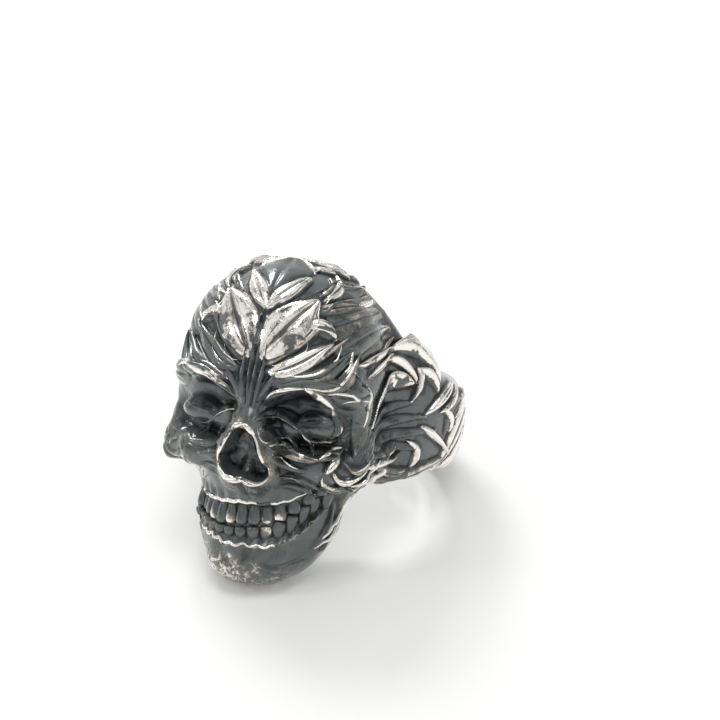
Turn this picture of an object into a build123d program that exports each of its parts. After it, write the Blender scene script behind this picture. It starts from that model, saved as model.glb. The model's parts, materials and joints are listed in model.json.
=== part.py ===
from build123d import *
import math
import os

import numpy as np

# A cast statement ring: a skull wrapped in acanthus leaves, on a domed band.
# Everything is in millimetres. The casting is shaped with the finger along Z and the
# face towards -Y, and is then laid on its chin and the back of the band.

# Driving dimensions
bore_radius = 10.3
band_crest_radius = 12.65
band_root_radius = 11.0
band_half_width = 4.1
shoulder_height = 12.6
head_half_width = 8.6
face_depth = 9.7
head_height = 28.4
socket_depth = 2.7
nose_depth = 1.3
jaw_half_width = 6.0
jaw_depth = 6.35
upper_tooth_length = 2.05
lower_tooth_length = 1.6
tooth_width = 1.2
tooth_lift = 0.55
half_teeth = 11
leaf_lift = 0.5
band_leaf_lift = 0.32
resting_flat = 0.12

# Levels on the skull, as shares of its height above the middle of the band
bite_share = -0.242
jaw_share = -0.243
cranium_share = 0.218
smile_rise_share = 0.026

face_reach = bore_radius + face_depth
arch_centre = face_reach - 0.2*face_depth + 0.5 - jaw_depth
core_radius = 0.68*bore_radius
core_level = 0.035*head_height
rim_radius = bore_radius + 0.03
bite = bite_share*head_height
upper_gum = bite + upper_tooth_length
lower_gum = bite - lower_tooth_length


def smooth_min(a, b, k):
    """the nearer of two walls, with a fillet of about k between them"""
    h = np.clip(0.5 + 0.5*(b - a)/k, 0.0, 1.0)
    return b*(1 - h) + a*h - k*h*(1 - h)


def smooth_max(a, b, k):
    return -smooth_min(-a, -b, k)


def place(across, forward, up):
    """a point of the head: shares of its half width, of its depth before the bore, of its height"""
    return (across*head_half_width, bore_radius + forward*face_depth, up*head_height)


def ellipsoid(p, centre, radii):
    """signed distance, nearly, to an egg shape"""
    q = [(p[i] - centre[i])/radii[i] for i in range(3)]
    g = [q[i]/radii[i] for i in range(3)]
    k0 = np.sqrt(q[0]**2 + q[1]**2 + q[2]**2)
    k1 = np.sqrt(g[0]**2 + g[1]**2 + g[2]**2) + 1e-9
    return k0*(k0 - 1.0)/k1


def rod(p, a, b, ra, rb):
    """signed distance to a bar of round section that tapers from ra to rb"""
    run = [b[i] - a[i] for i in range(3)]
    length2 = sum(v*v for v in run)
    t = sum((p[i] - a[i])*run[i] for i in range(3))/length2
    t = np.clip(t, 0, 1)
    dist = np.sqrt(sum((p[i] - a[i] - t*run[i])**2 for i in range(3)))
    return dist - (ra + (rb - ra)*t)


def bone(p, rows, fillet):
    """a run of tapered bars; each row is across, forward, up, and thickness over half width"""
    out = None
    for first, last in zip(rows[:-1], rows[1:]):
        bar = rod(p, place(*first[:3]), place(*last[:3]),
                  first[3]*head_half_width, last[3]*head_half_width)
        out = bar if out is None else smooth_min(out, bar, fillet)
    return out


# across, forward, up, thickness
brow_rows = [(0.00, 0.91, 0.187, 0.105), (0.28, 0.90, 0.211, 0.128), (0.57, 0.77, 0.215, 0.130),
             (0.79, 0.55, 0.183, 0.125), (0.88, 0.38, 0.113, 0.108), (0.92, 0.37, 0.042, 0.105),
             (0.95, 0.42, -0.010, 0.120)]
cheek_rows = [(0.42, 0.77, -0.028, 0.120), (0.62, 0.69, -0.040, 0.155), (0.86, 0.44, -0.060, 0.200),
              (0.95, 0.16, -0.045, 0.150), (0.99, -0.08, -0.030, 0.080)]
nose_rows = [(0.00, 0.92, 0.148, 0.116), (0.00, 0.99, 0.077, 0.140),
             (0.06, 0.95, 0.000, 0.215), (0.09, 0.89, -0.053, 0.225)]
jaw_rows = [(0.00, 0.67, -0.353, 0.212), (0.20, 0.64, -0.350, 0.195), (0.41, 0.41, -0.308, 0.160),
            (0.51, 0.21, -0.240, 0.155), (0.65, 0.06, -0.106, 0.175)]

# turn from the face in degrees, top of the band over its height at the shoulder, and its
# lower edge over half the band's width
shoulder_rows = [(0, 1.03, 1.00), (30, 1.03, 1.00), (41, 0.90, 0.88), (52, 0.71, 0.77),
                 (66, 0.57, 0.71), (80, 0.445, 0.71), (100, 0.357, 0.78), (140, 0.325, 0.88),
                 (180, 0.317, 0.91)]


def band(x, d, z):
    """the domed band, which widens upwards into the shoulders of the head"""
    r = np.hypot(x, d)
    turn = np.degrees(np.arctan2(np.abs(x), d))
    top = np.interp(turn, [row[0] for row in shoulder_rows],
                    [row[1]*shoulder_height for row in shoulder_rows])
    top = np.maximum(top, band_half_width*0.97)
    low = np.interp(turn, [row[0] for row in shoulder_rows],
                    [row[2]*band_half_width for row in shoulder_rows])
    middle = (top - low)/2
    half = (top + low)/2
    dome = band_crest_radius - band_root_radius
    q = (np.abs((r - band_root_radius)/dome)**2.3 + np.abs((z - middle)/half)**2.3)**(1/2.3)
    return (q - 1.0)*np.minimum(dome, half)*0.9


def arch_turn(x, d):
    """angle along the dental arch, from the middle of the face"""
    return np.arctan2(x, np.maximum(d - arch_centre, 0.01))


def smile(x, d):
    """how far the bite line rises towards the corners of the mouth"""
    return smile_rise_share*head_height*(np.abs(arch_turn(x, d))/1.2)**2


def jaws(x, d, z):
    """an upright drum, oval in plan, that carries both rows of teeth"""
    narrowing = 1 - 0.30*np.clip((-0.27*head_height - z)/(0.17*head_height), 0, 1)
    plan = np.sqrt((x/(jaw_half_width*narrowing))**2 + ((d - arch_centre)/jaw_depth)**2) + 1e-9
    tall = np.abs(z - jaw_share*head_height)/(0.19*head_height)
    return ((plan**4 + tall**4)**0.25 - 1.0)*0.9*jaw_half_width


def skull(x, d, z):
    """bones added one after another, then the hollows cut, all mirrored about the middle"""
    p = (np.abs(x), d, z)
    w, deep, tall = head_half_width, face_depth, head_height
    head = ellipsoid(p, place(0, 0.175, cranium_share), (1.02*w, 0.79*deep, 0.305*tall))
    head = smooth_min(head, bone(p, brow_rows, 0.6), 0.12*deep)
    upper_jaw = ellipsoid(p, place(0, 0.24, -0.092), (0.69*w, 0.68*deep, 0.148*tall))
    head = smooth_min(head, upper_jaw, 0.155*deep)
    head = smooth_min(head, bone(p, nose_rows, 1.0), 0.1*deep)
    head = smooth_min(head, bone(p, cheek_rows, 0.6), 0.08*deep)
    head = smooth_min(head, jaws(x, d, z), 0.05*deep)
    chin = ellipsoid(p, place(0, 0.75, -0.358), (0.27*w, 0.20*deep, 0.060*tall))
    lower_jaw = smooth_min(bone(p, jaw_rows, 1.2), chin, 0.12*deep)
    head = smooth_min(head, lower_jaw, 0.08*deep)

    # eye sockets with the swell of a closed lid
    temple_bone = ellipsoid(p, place(0.60, 0.14, 0.05), (0.37*w, 0.42*deep, 0.24*tall))
    head = smooth_min(head, temple_bone, 0.1*deep)
    socket = ellipsoid(p, place(0.5, 0.876, 0.095), (0.343*w, socket_depth, 0.0915*tall))
    head = smooth_max(head, -socket, 0.06*deep)
    lid_forward = 0.876 - 1.085*socket_depth/deep
    lid = ellipsoid(p, place(0.46, lid_forward, 0.065), (0.25*w, 0.36*socket_depth, 0.045*tall))
    head = smooth_min(head, lid, 0.05*deep)

    # hollows at the temples and below the cheekbones
    temple = ellipsoid(p, place(1.31, 0.44, 0.289), (0.35*w, 0.41*deep, 0.113*tall))
    head = smooth_max(head, -temple, 0.15*deep)
    cheek = ellipsoid(p, place(0.87, 0.63, -0.176), (0.233*w, 0.35*deep, 0.092*tall))
    head = smooth_max(head, -cheek, 0.08*deep)

    # the slope below the jaw, from the bore to the chin, and the back of the head
    r = np.hypot(x, d)
    slope = math.atan2(0.257*tall, 0.485*deep)
    below = -math.sin(slope)*(r - bore_radius) - math.cos(slope)*(z + 0.197*tall)
    head = smooth_max(head, below, 0.08*deep)
    return smooth_max(head, 0.835*bore_radius - d, 0.1*deep)


def casting(x, y, z):
    return smooth_min(skull(x, -y, z), band(x, -y, z), 0.12*face_depth)


def walls(phi, t, stand=0.0):
    """
    Radius and level of the outer wall, seen from a ring-shaped core inside the bore:
    phi is the turn round the finger, t the climb within that radial section, and stand
    how far the leaves raise the wall there.
    """
    ux, uy = np.sin(phi), -np.cos(phi)

    def gap(rho):
        r = np.maximum(core_radius + rho*np.cos(t), bore_radius + 0.05)
        return casting(ux*r, uy*r, core_level + rho*np.sin(t))

    rho = np.full(phi.shape, 1.25*(face_reach - core_radius) + 2)
    for _ in range(45):
        rho = np.maximum(rho - 0.75*np.maximum(gap(rho) - stand, 0.0), 0.5)
    low, high = rho - 0.35, rho + 0.05
    for _ in range(10):
        middle = 0.5*(low + high)
        inside = gap(middle) < stand
        low = np.where(inside, middle, low)
        high = np.where(inside, high, middle)
    return core_radius + rho*np.cos(t), core_level + rho*np.sin(t)


def climbs_of_column(phi, climbs, r, z):
    """climb angles of one section's points, evenly along its outline between fixed levels"""
    last = len(climbs) - 1
    top = next((k for k in range(last//2, last) if r[k + 1] < rim_radius), last - 1)
    low = next((k for k in range(last//2, 0, -1) if r[k - 1] < rim_radius), 1)
    first_share = np.clip((r[low] - rim_radius)/max(r[low] - r[low - 1], 1e-6), 0, 1)
    last_share = np.clip((r[top] - rim_radius)/max(r[top] - r[top + 1], 1e-6), 0, 1)
    step = climbs[1] - climbs[0]
    start, end = climbs[low] - first_share*step, climbs[top] + last_share*step
    inner = (climbs > start) & (climbs < end)
    t = np.concatenate([[start], climbs[inner], [end]])
    rr, zz = np.interp(t, climbs, r), np.interp(t, climbs, z)
    run = np.minimum(np.hypot(np.diff(rr), np.diff(zz)), 0.9) + 0.02
    length = np.concatenate([[0], np.cumsum(run)])/run.sum()
    x, d = np.sin(phi)*rr, np.cos(phi)*rr
    level = zz - smile(x, d)
    marks = [0.235, 0.275, 0.315]
    if abs(phi) < math.radians(26):
        found = []
        for wanted in (lower_gum, bite, upper_gum):
            below = np.nonzero(level < wanted)[0]
            found.append(length[below[-1]] if len(below) else marks[len(found)])
        fade = np.clip((26 - abs(math.degrees(phi)))/4, 0, 1)
        marks = [m + fade*(f - m) for m, f in zip(marks, found)]
    return t, length, marks


def section_points(phis, rows):
    """points of every section's outer wall, from its lower edge on the bore to its upper one"""
    climbs = np.radians(np.linspace(-82, 84, 160))
    phi = phis[:, None]*np.ones(len(climbs))[None, :]
    r, z = walls(phi, np.ones(len(phis))[:, None]*climbs[None, :])
    picked = []
    for i, turn in enumerate(phis):
        t, length, marks = climbs_of_column(turn, climbs, r[i], z[i])
        stops = [0.0] + marks + [1.0]
        places = [0.0]
        for first, last, count in zip(stops[:-1], stops[1:], rows):
            places += [first + (last - first)*(k + 1)/count for k in range(count)]
        picked.append(np.interp(places, length, t))
    t = np.array(picked)
    start, span = t[:, :1], t[:, -1:] - t[:, :1]
    share = (t - start)/span
    for _ in range(6):
        share = 0.5*share + 0.25*(np.roll(share, 1, 0) + np.roll(share, -1, 0))
    t = start + share*span

    # the wall is read three times as finely as it is built, and evened between the readings
    around = np.unwrap(phis)
    following = np.append(around[1:], around[0] + 2*math.pi)
    fine_phi = np.stack([around + k*(following - around)/3 for k in range(3)], 1).ravel()
    below = np.stack([t + k*(np.roll(t, -1, 0) - t)/3 for k in range(3)], 1).reshape(-1, t.shape[1])
    rise = np.diff(below, axis=1)
    fine_t = np.stack([below[:, :-1] + k*rise/3 for k in range(3)], 2).reshape(len(below), -1)
    fine_t = np.hstack([fine_t, below[:, -1:]])
    fine_phi = fine_phi[:, None]*np.ones(fine_t.shape[1])[None, :]
    bare_r, bare_z = walls(fine_phi, fine_t)
    bare = np.stack([np.sin(fine_phi)*bare_r, -np.cos(fine_phi)*bare_r, bare_z], -1)
    r, z = walls(fine_phi, fine_t, leaf_relief(bare))
    reach = evened(np.hypot(r - core_radius, z - core_level))
    softer = evened(evened(evened(reach)))
    steep = np.clip(8*np.abs(softer - reach) - 0.4, 0, 1)
    reach = (reach + steep*(softer - reach))[::3, ::3]
    reach = reach - nasal_hollow(bare[::3, ::3]) + tooth_relief(phis, rows)
    phi = phis[:, None]*np.ones(t.shape[1])[None, :]
    r, z = core_radius + reach*np.cos(t), core_level + reach*np.sin(t)
    r = np.maximum(r, rim_radius)
    r[:, 0], r[:, -1] = rim_radius, rim_radius
    z[:, 0], z[:, -1] = bare_z[::3, 0], bare_z[::3, -1]
    return np.stack([np.sin(phi)*r, -np.cos(phi)*r, z], -1)


def evened(reach):
    """readings averaged with their neighbours on both sides, wrapping round the finger"""
    weights = {0: 3/9, 1: 2/9, 2: 1/9}
    across = weights[0]*reach
    for k in (1, 2):
        across = across + weights[k]*(np.roll(reach, k, 0) + np.roll(reach, -k, 0))
    padded = np.pad(across, ((0, 0), (2, 2)), mode="edge")
    count = reach.shape[1]
    return sum(weights[abs(k)]*padded[:, 2 + k:2 + k + count] for k in range(-2, 3))


def nasal_hollow(points):
    """how deep the nasal opening is sunk at each point: a pear that parts below into two lobes"""
    x, d, z = np.abs(points[..., 0]), -points[..., 1], points[..., 2]
    w, tall = head_half_width, head_height
    pear = 1 - (x/(0.20*w))**2 - ((z - 0.018*tall)/(0.092*tall))**2
    lobe = 1 - ((x - 0.095*w)/(0.20*w))**2 - ((z + 0.042*tall)/(0.058*tall))**2
    inside = np.clip(smooth_max(pear, lobe, 0.3), 0, 1)
    return nose_depth*inside*inside*(3 - 2*inside)*(d > arch_centre)


def tooth_relief(phis, rows):
    """
    How far each point of the sections stands out for the teeth. The sections alternate
    between the gaps and the middles of the teeth, and their rows between the gum lines
    climb over the lower teeth, the bite and the upper teeth.
    """
    relief = np.zeros((len(phis), 1 + sum(rows)))
    first, count = rows[0], rows[1]
    middle = int(np.argmin(np.abs(phis)))
    for i in range(-half_teeth, half_teeth + 1):
        fade = min(1.0, 0.5*(half_teeth + 1 - abs(i)))
        on_tooth = i % 2 == 1
        for row in range(1, count):
            crown = tooth_lift*(0.55 if on_tooth else -0.65)*fade
            relief[middle + i, first + row] = crown
            relief[middle + i, first + count + row] = crown
        relief[middle + i, first + count] = -0.75*tooth_lift*fade
        relief[middle + i, first] = -0.35*tooth_lift*fade
        relief[middle + i, first + 2*count] = -0.35*tooth_lift*fade
    return relief


# Leaves of the head, on the cranium's own flat coordinates, in radians about its upper front:
# base across, base up, bend across, bend up, tip across, tip up, half width, lift share, fullness
head_leaves = [
    (0.00, -0.34, 0.00, 0.14, 0.00, 0.66, 0.27, 0.68, 2.2),
    (0.02, -0.45, 0.11, -0.02, 0.31, 0.40, 0.09, 0.88, 1.3),
    (0.04, -0.72, 0.24, -0.28, 0.47, 0.20, 0.165, 1.00, 1.0),
    (0.10, -0.78, 0.36, -0.50, 0.70, -0.20, 0.09, 0.84, 1.1),
    (0.12, -0.82, 0.53, -0.56, 0.80, -0.10, 0.08, 0.72, 1.4),
    (0.12, -0.88, 0.62, -0.66, 0.98, -0.10, 0.09, 0.84, 1.2),
    (0.22, -0.40, 0.62, -0.02, 0.52, 0.50, 0.10, 0.76, 1.2),
    (0.10, 0.00, 0.36, 0.36, 0.50, 0.78, 0.10, 0.72, 1.2),
    (0.45, -0.28, 0.84, 0.10, 1.02, 0.62, 0.13, 0.68, 1.0),
    (0.62, -0.30, 1.05, -0.02, 1.38, 0.46, 0.14, 0.64, 1.0),
    (0.80, -0.45, 1.18, -0.30, 1.60, 0.22, 0.11, 0.60, 1.0),
    (0.70, -0.72, 0.98, -0.63, 1.32, -0.50, 0.10, 0.72, 1.0),
    (0.00, 0.20, 0.17, 0.66, 0.26, 1.00, 0.09, 0.72, 1.1),
]

# Leaves of the band: turn in degrees, and level over the band's half width,
# for base, bend and tip, then half width over the same, lift share and fullness
shoulder_leaves = [
    (38, 1.75, 57, 1.90, 74, 1.02, 0.21, 1.00, 1.0),
    (37, 1.41, 48, 1.68, 58, 1.07, 0.15, 0.94, 1.2),
    (32, 0.54, 42, 1.22, 53, 1.12, 0.23, 1.18, 1.8),
    (31, 0.29, 48, 0.76, 67, 0.98, 0.18, 0.94, 1.0),
    (31, 0.20, 60, 0.44, 86, 0.98, 0.20, 0.94, 1.0),
    (31, 0.10, 56, 0.10, 80, -0.24, 0.21, 0.94, 1.0),
    (33, -0.78, 47, -0.22, 64, -0.54, 0.21, 0.94, 1.2),
    (40, -0.83, 58, -0.59, 76, -0.78, 0.17, 0.78, 1.0),
]


def back_leaves():
    """pairs of leaves that cross the back of the band by turns"""
    rows = []
    for k in range(5):
        turn = 84 + 22*k
        s = 1 if k % 2 == 0 else -1
        rows.append((turn - 14, -0.63*s, turn + 2, -0.1*s, turn + 16, 0.63*s, 0.23, 0.94, 1.2))
        rows.append((turn - 4, 0.73*s, turn + 4, 0.46*s, turn + 12, 0.05*s, 0.15, 0.75, 1.0))
    return rows


def leaf(u, v, row, lift):
    """height of one leaf with a groove along its middle, over flat coordinates u and v"""
    bu, bv, mu, mv, tu, tv, width, share, full = row
    cu, cv = 2*mu - 0.5*(bu + tu), 2*mv - 0.5*(bv + tv)
    pieces = 18
    t = np.linspace(0, 1, pieces + 1)
    xs = (1 - t)**2*bu + 2*t*(1 - t)*cu + t*t*tu
    ys = (1 - t)**2*bv + 2*t*(1 - t)*cv + t*t*tv
    nearest = np.full(u.shape, 1e9)
    along = np.zeros(u.shape)
    side = np.zeros(u.shape)
    for i in range(pieces):
        dx, dy = xs[i + 1] - xs[i], ys[i + 1] - ys[i]
        run2 = dx*dx + dy*dy
        w = ((u - xs[i])*dx + (v - ys[i])*dy)/run2
        held = np.clip(w, 0, 1)
        far2 = (u - xs[i] - held*dx)**2 + (v - ys[i] - held*dy)**2
        closer = far2 < nearest
        nearest = np.where(closer, far2, nearest)
        low = -9.0 if i == 0 else 0.0
        high = 9.0 if i == pieces - 1 else 1.0
        along = np.where(closer, (i + np.clip(w, low, high))/pieces, along)
        side = np.where(closer, (dx*(v - ys[i]) - dy*(u - xs[i]))/math.sqrt(run2), side)
    held = np.clip(along, 0, 1)
    swell = np.sin(np.pi*held**(0.55*full + 0.45))**0.8
    half = np.maximum(width*(0.22*(1 - held) + 0.95*swell), 1e-6)
    dome = np.sqrt(np.clip(1 - (np.sqrt(nearest)/half)**2.4, 0, 1))
    groove = 0.38*np.exp(-(side/(0.22*half))**2)*np.clip(4*held*(1.15 - held), 0, 1)
    ends = np.clip((along + 0.06)/0.06, 0, 1)*np.clip((1.04 - along)/0.04, 0, 1)
    rise = 0.6 + 0.4*np.clip(3*held, 0, 1)
    return lift*share*ends*rise*(dome - groove*(dome > 0))


def leaf_relief(points):
    """how far the leaves stand out of the casting at each of its points"""
    x, d, z = points[..., 0], -points[..., 1], points[..., 2]
    centre = place(0, 0.02, cranium_share)
    ray = points - np.array([centre[0], -centre[1], centre[2]])
    ray = ray/np.linalg.norm(ray, axis=-1, keepdims=True)
    pitch = math.radians(42)
    forward = ray@np.array([0, -math.cos(pitch), math.sin(pitch)])
    up = ray@np.array([0, math.sin(pitch), math.cos(pitch)])
    away = np.arccos(np.clip(forward, -1, 1))
    flat = np.hypot(ray[..., 0], up) + 1e-9
    u, v = np.abs(away*ray[..., 0]/flat), away*up/flat
    head = np.zeros(x.shape)
    for row in head_leaves:
        head = np.maximum(head, leaf(u, v, row, leaf_lift))
    r = np.hypot(x, d)
    turn = np.degrees(np.arctan2(np.abs(x), d))
    cap = np.clip((v + 0.95)/0.06, 0, 1)*np.clip((46 - turn)/4, 0, 1)
    head = head*cap*np.clip((1.75 - np.hypot(u, v))/0.1, 0, 1)
    length = math.radians(1)*0.5*(band_crest_radius + band_root_radius + 1.4)
    back = np.zeros(x.shape)
    for row in shoulder_leaves + back_leaves():
        bt, bl, mt, ml, tt, tl, width, share, full = row
        w = band_half_width
        sized = (bt*length, bl*w, mt*length, ml*w, tt*length, tl*w, width*w, share, full)
        back = np.maximum(back, leaf(turn*length, z, sized, band_leaf_lift))
    edge = 0.2*(band_root_radius - bore_radius)
    back = back*np.clip((turn - 29)/4, 0, 1)*np.clip((r - band_root_radius - edge)/0.4, 0, 1)
    return np.maximum(head, back)


def turns_of_columns():
    """turns of the sections round the finger: one at each tooth and gap, wider apart behind"""
    cheek_columns, shoulder_columns, band_columns = 8, 12, 31
    front = []
    for k in range(half_teeth + 1):
        a = 0.5*k*tooth_width/jaw_depth
        front.append(math.atan2(jaw_half_width*math.sin(a), arch_centre + jaw_depth*math.cos(a)))
    cheek_end, shoulder_end = math.radians(34), math.radians(60)
    side = list(np.linspace(front[-1], cheek_end, cheek_columns + 1)[1:])
    side += list(np.linspace(cheek_end, shoulder_end, shoulder_columns + 1)[1:])
    head = front + side
    back = list(np.linspace(shoulder_end, math.pi, band_columns + 1)[1:-1])
    left = [-v for v in reversed(head[1:])]
    return np.array(left + head), np.array(back + [math.pi] + [-v for v in reversed(back)])


def facet(*corners):
    return Face(Wire.make_polygon([Vector(*c) for c in corners], close=True))


def strip(left, right):
    """facets between two neighbouring sections, which hold as many points, or twice as many"""
    faces = []
    if len(left) == len(right):
        for k in range(len(left) - 1):
            if math.dist(left[k], right[k + 1]) < math.dist(right[k], left[k + 1]):
                faces.append(facet(left[k], right[k], right[k + 1]))
                faces.append(facet(left[k], right[k + 1], left[k + 1]))
            else:
                faces.append(facet(left[k], right[k], left[k + 1]))
                faces.append(facet(right[k], right[k + 1], left[k + 1]))
        return faces
    fine, coarse = (left, right) if len(left) > len(right) else (right, left)
    for k in range(len(coarse) - 1):
        a, b, c = fine[2*k], fine[2*k + 1], fine[2*k + 2]
        faces.append(facet(a, coarse[k], b))
        faces.append(facet(b, coarse[k], coarse[k + 1]))
        faces.append(facet(b, coarse[k + 1], c))
    return faces


def inner_ends(section):
    """the section's two ends carried a little way into the bore"""
    inside = 0.95*bore_radius
    ends = []
    for end in (section[0], section[-1]):
        shrink = inside/math.hypot(end[0], end[1])
        ends.append((end[0]*shrink, end[1]*shrink, end[2]))
    return ends


def ring_solid():
    """the casting as one closed shell of facets, with its bore cut by a true cylinder"""
    rows_below, rows_per_tooth, rows_above = 10, 3, 30
    head_turns, back_turns = turns_of_columns()
    turns = np.concatenate([head_turns, back_turns])
    points = section_points(turns, (rows_below, rows_per_tooth, rows_per_tooth, rows_above))
    sections = []
    for i in range(len(turns)):
        keep_all = i < len(head_turns)
        column = points[i] if keep_all else points[i][::2]
        sections.append([tuple(float(v) for v in p) for p in column])
    faces = []
    for left, right in zip(sections, sections[1:] + sections[:1]):
        faces += strip(left, right)
        low_l, top_l = inner_ends(left)
        low_r, top_r = inner_ends(right)
        faces.append(facet(left[-1], right[-1], top_r))
        faces.append(facet(left[-1], top_r, top_l))
        faces.append(facet(top_l, top_r, low_r, low_l))
        faces.append(facet(low_l, low_r, right[0]))
        faces.append(facet(low_l, right[0], left[0]))
    solid = Solid(Shell(faces))
    return solid - Cylinder(bore_radius, 4*head_height), points.reshape(-1, 3)


def resting_tilt(points):
    """the lean at which the chin and the back of the band both meet the surface"""
    front = points[points[:, 1] < -bore_radius]
    back = points[points[:, 1] > 0.7*bore_radius]
    low, high = 0.0, math.radians(45)
    for _ in range(40):
        tilt = 0.5*(low + high)
        front_low = (front[:, 2]*math.cos(tilt) - front[:, 1]*math.sin(tilt)).min()
        back_low = (back[:, 2]*math.cos(tilt) - back[:, 1]*math.sin(tilt)).min()
        if front_low < back_low:
            low = tilt
        else:
            high = tilt
    return tilt, min(front_low, back_low)


def laid_down(solid, points):
    """the ring leaning on its chin and the back of its band, both worn flat where they rest"""
    tilt, lowest = resting_tilt(points)
    leaned = Rot(-math.degrees(tilt), 0, 0)*solid
    dropped = Pos(0, 0, -lowest - resting_flat)*leaned
    size = 8*head_height
    below = Pos(0, 0, -size/2)*Box(size, size, size)
    worn = dropped - below
    box = worn.bounding_box()
    middle = 0.5*(box.min.Y + box.max.Y)
    print("lean", round(math.degrees(tilt), 3), "bore centre", round(-middle, 3), round(-lowest - resting_flat, 3))
    return Pos(-0.5*(box.min.X + box.max.X), -middle, 0)*worn


os.makedirs("parts", exist_ok=True)
casting_solid, outer_points = ring_solid()
skull_ring = laid_down(casting_solid, outer_points)
export_step(skull_ring, "parts/skull_ring.step")
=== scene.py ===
import json
import math

import bmesh
import bpy
import numpy as np
from mathutils import Matrix, Vector


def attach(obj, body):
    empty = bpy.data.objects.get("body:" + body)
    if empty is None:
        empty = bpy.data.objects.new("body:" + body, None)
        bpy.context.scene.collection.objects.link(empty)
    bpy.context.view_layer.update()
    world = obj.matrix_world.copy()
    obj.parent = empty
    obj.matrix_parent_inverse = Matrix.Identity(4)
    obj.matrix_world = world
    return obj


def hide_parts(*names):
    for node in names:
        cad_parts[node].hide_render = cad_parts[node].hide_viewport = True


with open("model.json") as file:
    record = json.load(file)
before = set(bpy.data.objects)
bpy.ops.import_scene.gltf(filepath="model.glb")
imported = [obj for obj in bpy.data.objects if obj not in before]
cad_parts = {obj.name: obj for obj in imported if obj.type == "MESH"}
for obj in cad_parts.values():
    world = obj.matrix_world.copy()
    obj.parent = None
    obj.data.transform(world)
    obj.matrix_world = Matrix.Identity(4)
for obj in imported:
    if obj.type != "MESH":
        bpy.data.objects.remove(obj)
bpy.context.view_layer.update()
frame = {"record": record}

# sizes, in millimetres
MM = 0.001
bore_radius = 10.3
band_crest_radius = 12.65
band_root_radius = 11.0
band_half_width = 4.1
shoulder_height = 12.6
head_half_width = 8.6
face_depth = 9.7
head_height = 28.4
socket_depth = 1.8
nose_depth = 1.6
nose_tilt = 0.13
jaw_half_width = 6.0
jaw_depth = 6.35
tooth_width = 1.2
leaf_lift = 0.55
band_leaf_lift = 0.45
above_leaves = 0.45
rest_level = 0.01

# shares of the head's height, and one of the face's depth
bite_share = -0.242
jaw_share = -0.243
cranium_share = 0.218
cranium_forward = 0.02

# Turn along the dental arch in degrees, then the climb of the bite, the height of the upper
# teeth and that of the lower teeth there, over the head's height
mouth_rows = [
    (-90, 0.010, 0.040, 0.030), (-66, 0.000, 0.062, 0.030), (-33, -0.014, 0.076, 0.036),
    (-15, -0.008, 0.074, 0.046), (0, 0.000, 0.076, 0.054), (15, 0.008, 0.066, 0.058),
    (25, 0.020, 0.062, 0.066), (35, 0.040, 0.056, 0.068), (42, 0.056, 0.054, 0.070),
    (50, 0.082, 0.042, 0.074), (60, 0.103, 0.036, 0.066), (75, 0.120, 0.030, 0.050),
    (90, 0.130, 0.020, 0.040),
]
bite = bite_share*head_height
face_reach = bore_radius + face_depth
arch_centre = face_reach - 0.2*face_depth + 0.5 - jaw_depth
core_radius = 0.68*bore_radius
core_level = 0.035*head_height
rim_radius = bore_radius + 0.01

# The cranium's flat coordinates are angles about a ray that points forward and climbs by this
# much, from a place inside the cranium
leaf_pitch = math.radians(42)
leaf_forward = np.array([0, -math.cos(leaf_pitch), math.sin(leaf_pitch)])
leaf_up = np.array([0, math.sin(leaf_pitch), math.cos(leaf_pitch)])

mount = frame["record"]["mounts"][0]
bore_centre = np.array(mount["pos_m"], np.float64)/MM
lean = math.atan2(mount["axis"][1], mount["axis"][2])


def laid_down(p):
    """points shaped with the finger upright, leaned back as the ring rests, in metres"""
    c, s = math.cos(lean), math.sin(lean)
    y, z = p[..., 1]*c + p[..., 2]*s, p[..., 2]*c - p[..., 1]*s
    return (np.stack([p[..., 0], y, z], -1) + bore_centre)*MM


# the casting's form
def smooth_min(a, b, k):
    h = np.clip(0.5 + 0.5*(b - a)/k, 0.0, 1.0)
    return b*(1 - h) + a*h - k*h*(1 - h)


def smooth_max(a, b, k):
    return -smooth_min(-a, -b, k)


def place(across, forward, up):
    return (across*head_half_width, bore_radius + forward*face_depth, up*head_height)


def ellipsoid(p, centre, radii):
    q = [(p[i] - centre[i])/radii[i] for i in range(3)]
    g = [q[i]/radii[i] for i in range(3)]
    k0 = np.sqrt(q[0]**2 + q[1]**2 + q[2]**2)
    k1 = np.sqrt(g[0]**2 + g[1]**2 + g[2]**2) + 1e-6
    return k0*(k0 - 1.0)/k1


def rod(p, a, b, ra, rb):
    run = [b[i] - a[i] for i in range(3)]
    t = np.clip(sum((p[i] - a[i])*run[i] for i in range(3))/sum(v*v for v in run), 0, 1)
    far2 = sum((p[i] - a[i] - t*run[i])**2 for i in range(3))
    return np.sqrt(far2) - (ra + (rb - ra)*t)


def bone(p, rows, fillet):
    out = None
    for first, last in zip(rows[:-1], rows[1:]):
        bar = rod(p, place(*first[:3]), place(*last[:3]),
                  first[3]*head_half_width, last[3]*head_half_width)
        out = bar if out is None else smooth_min(out, bar, fillet)
    return out


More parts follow.
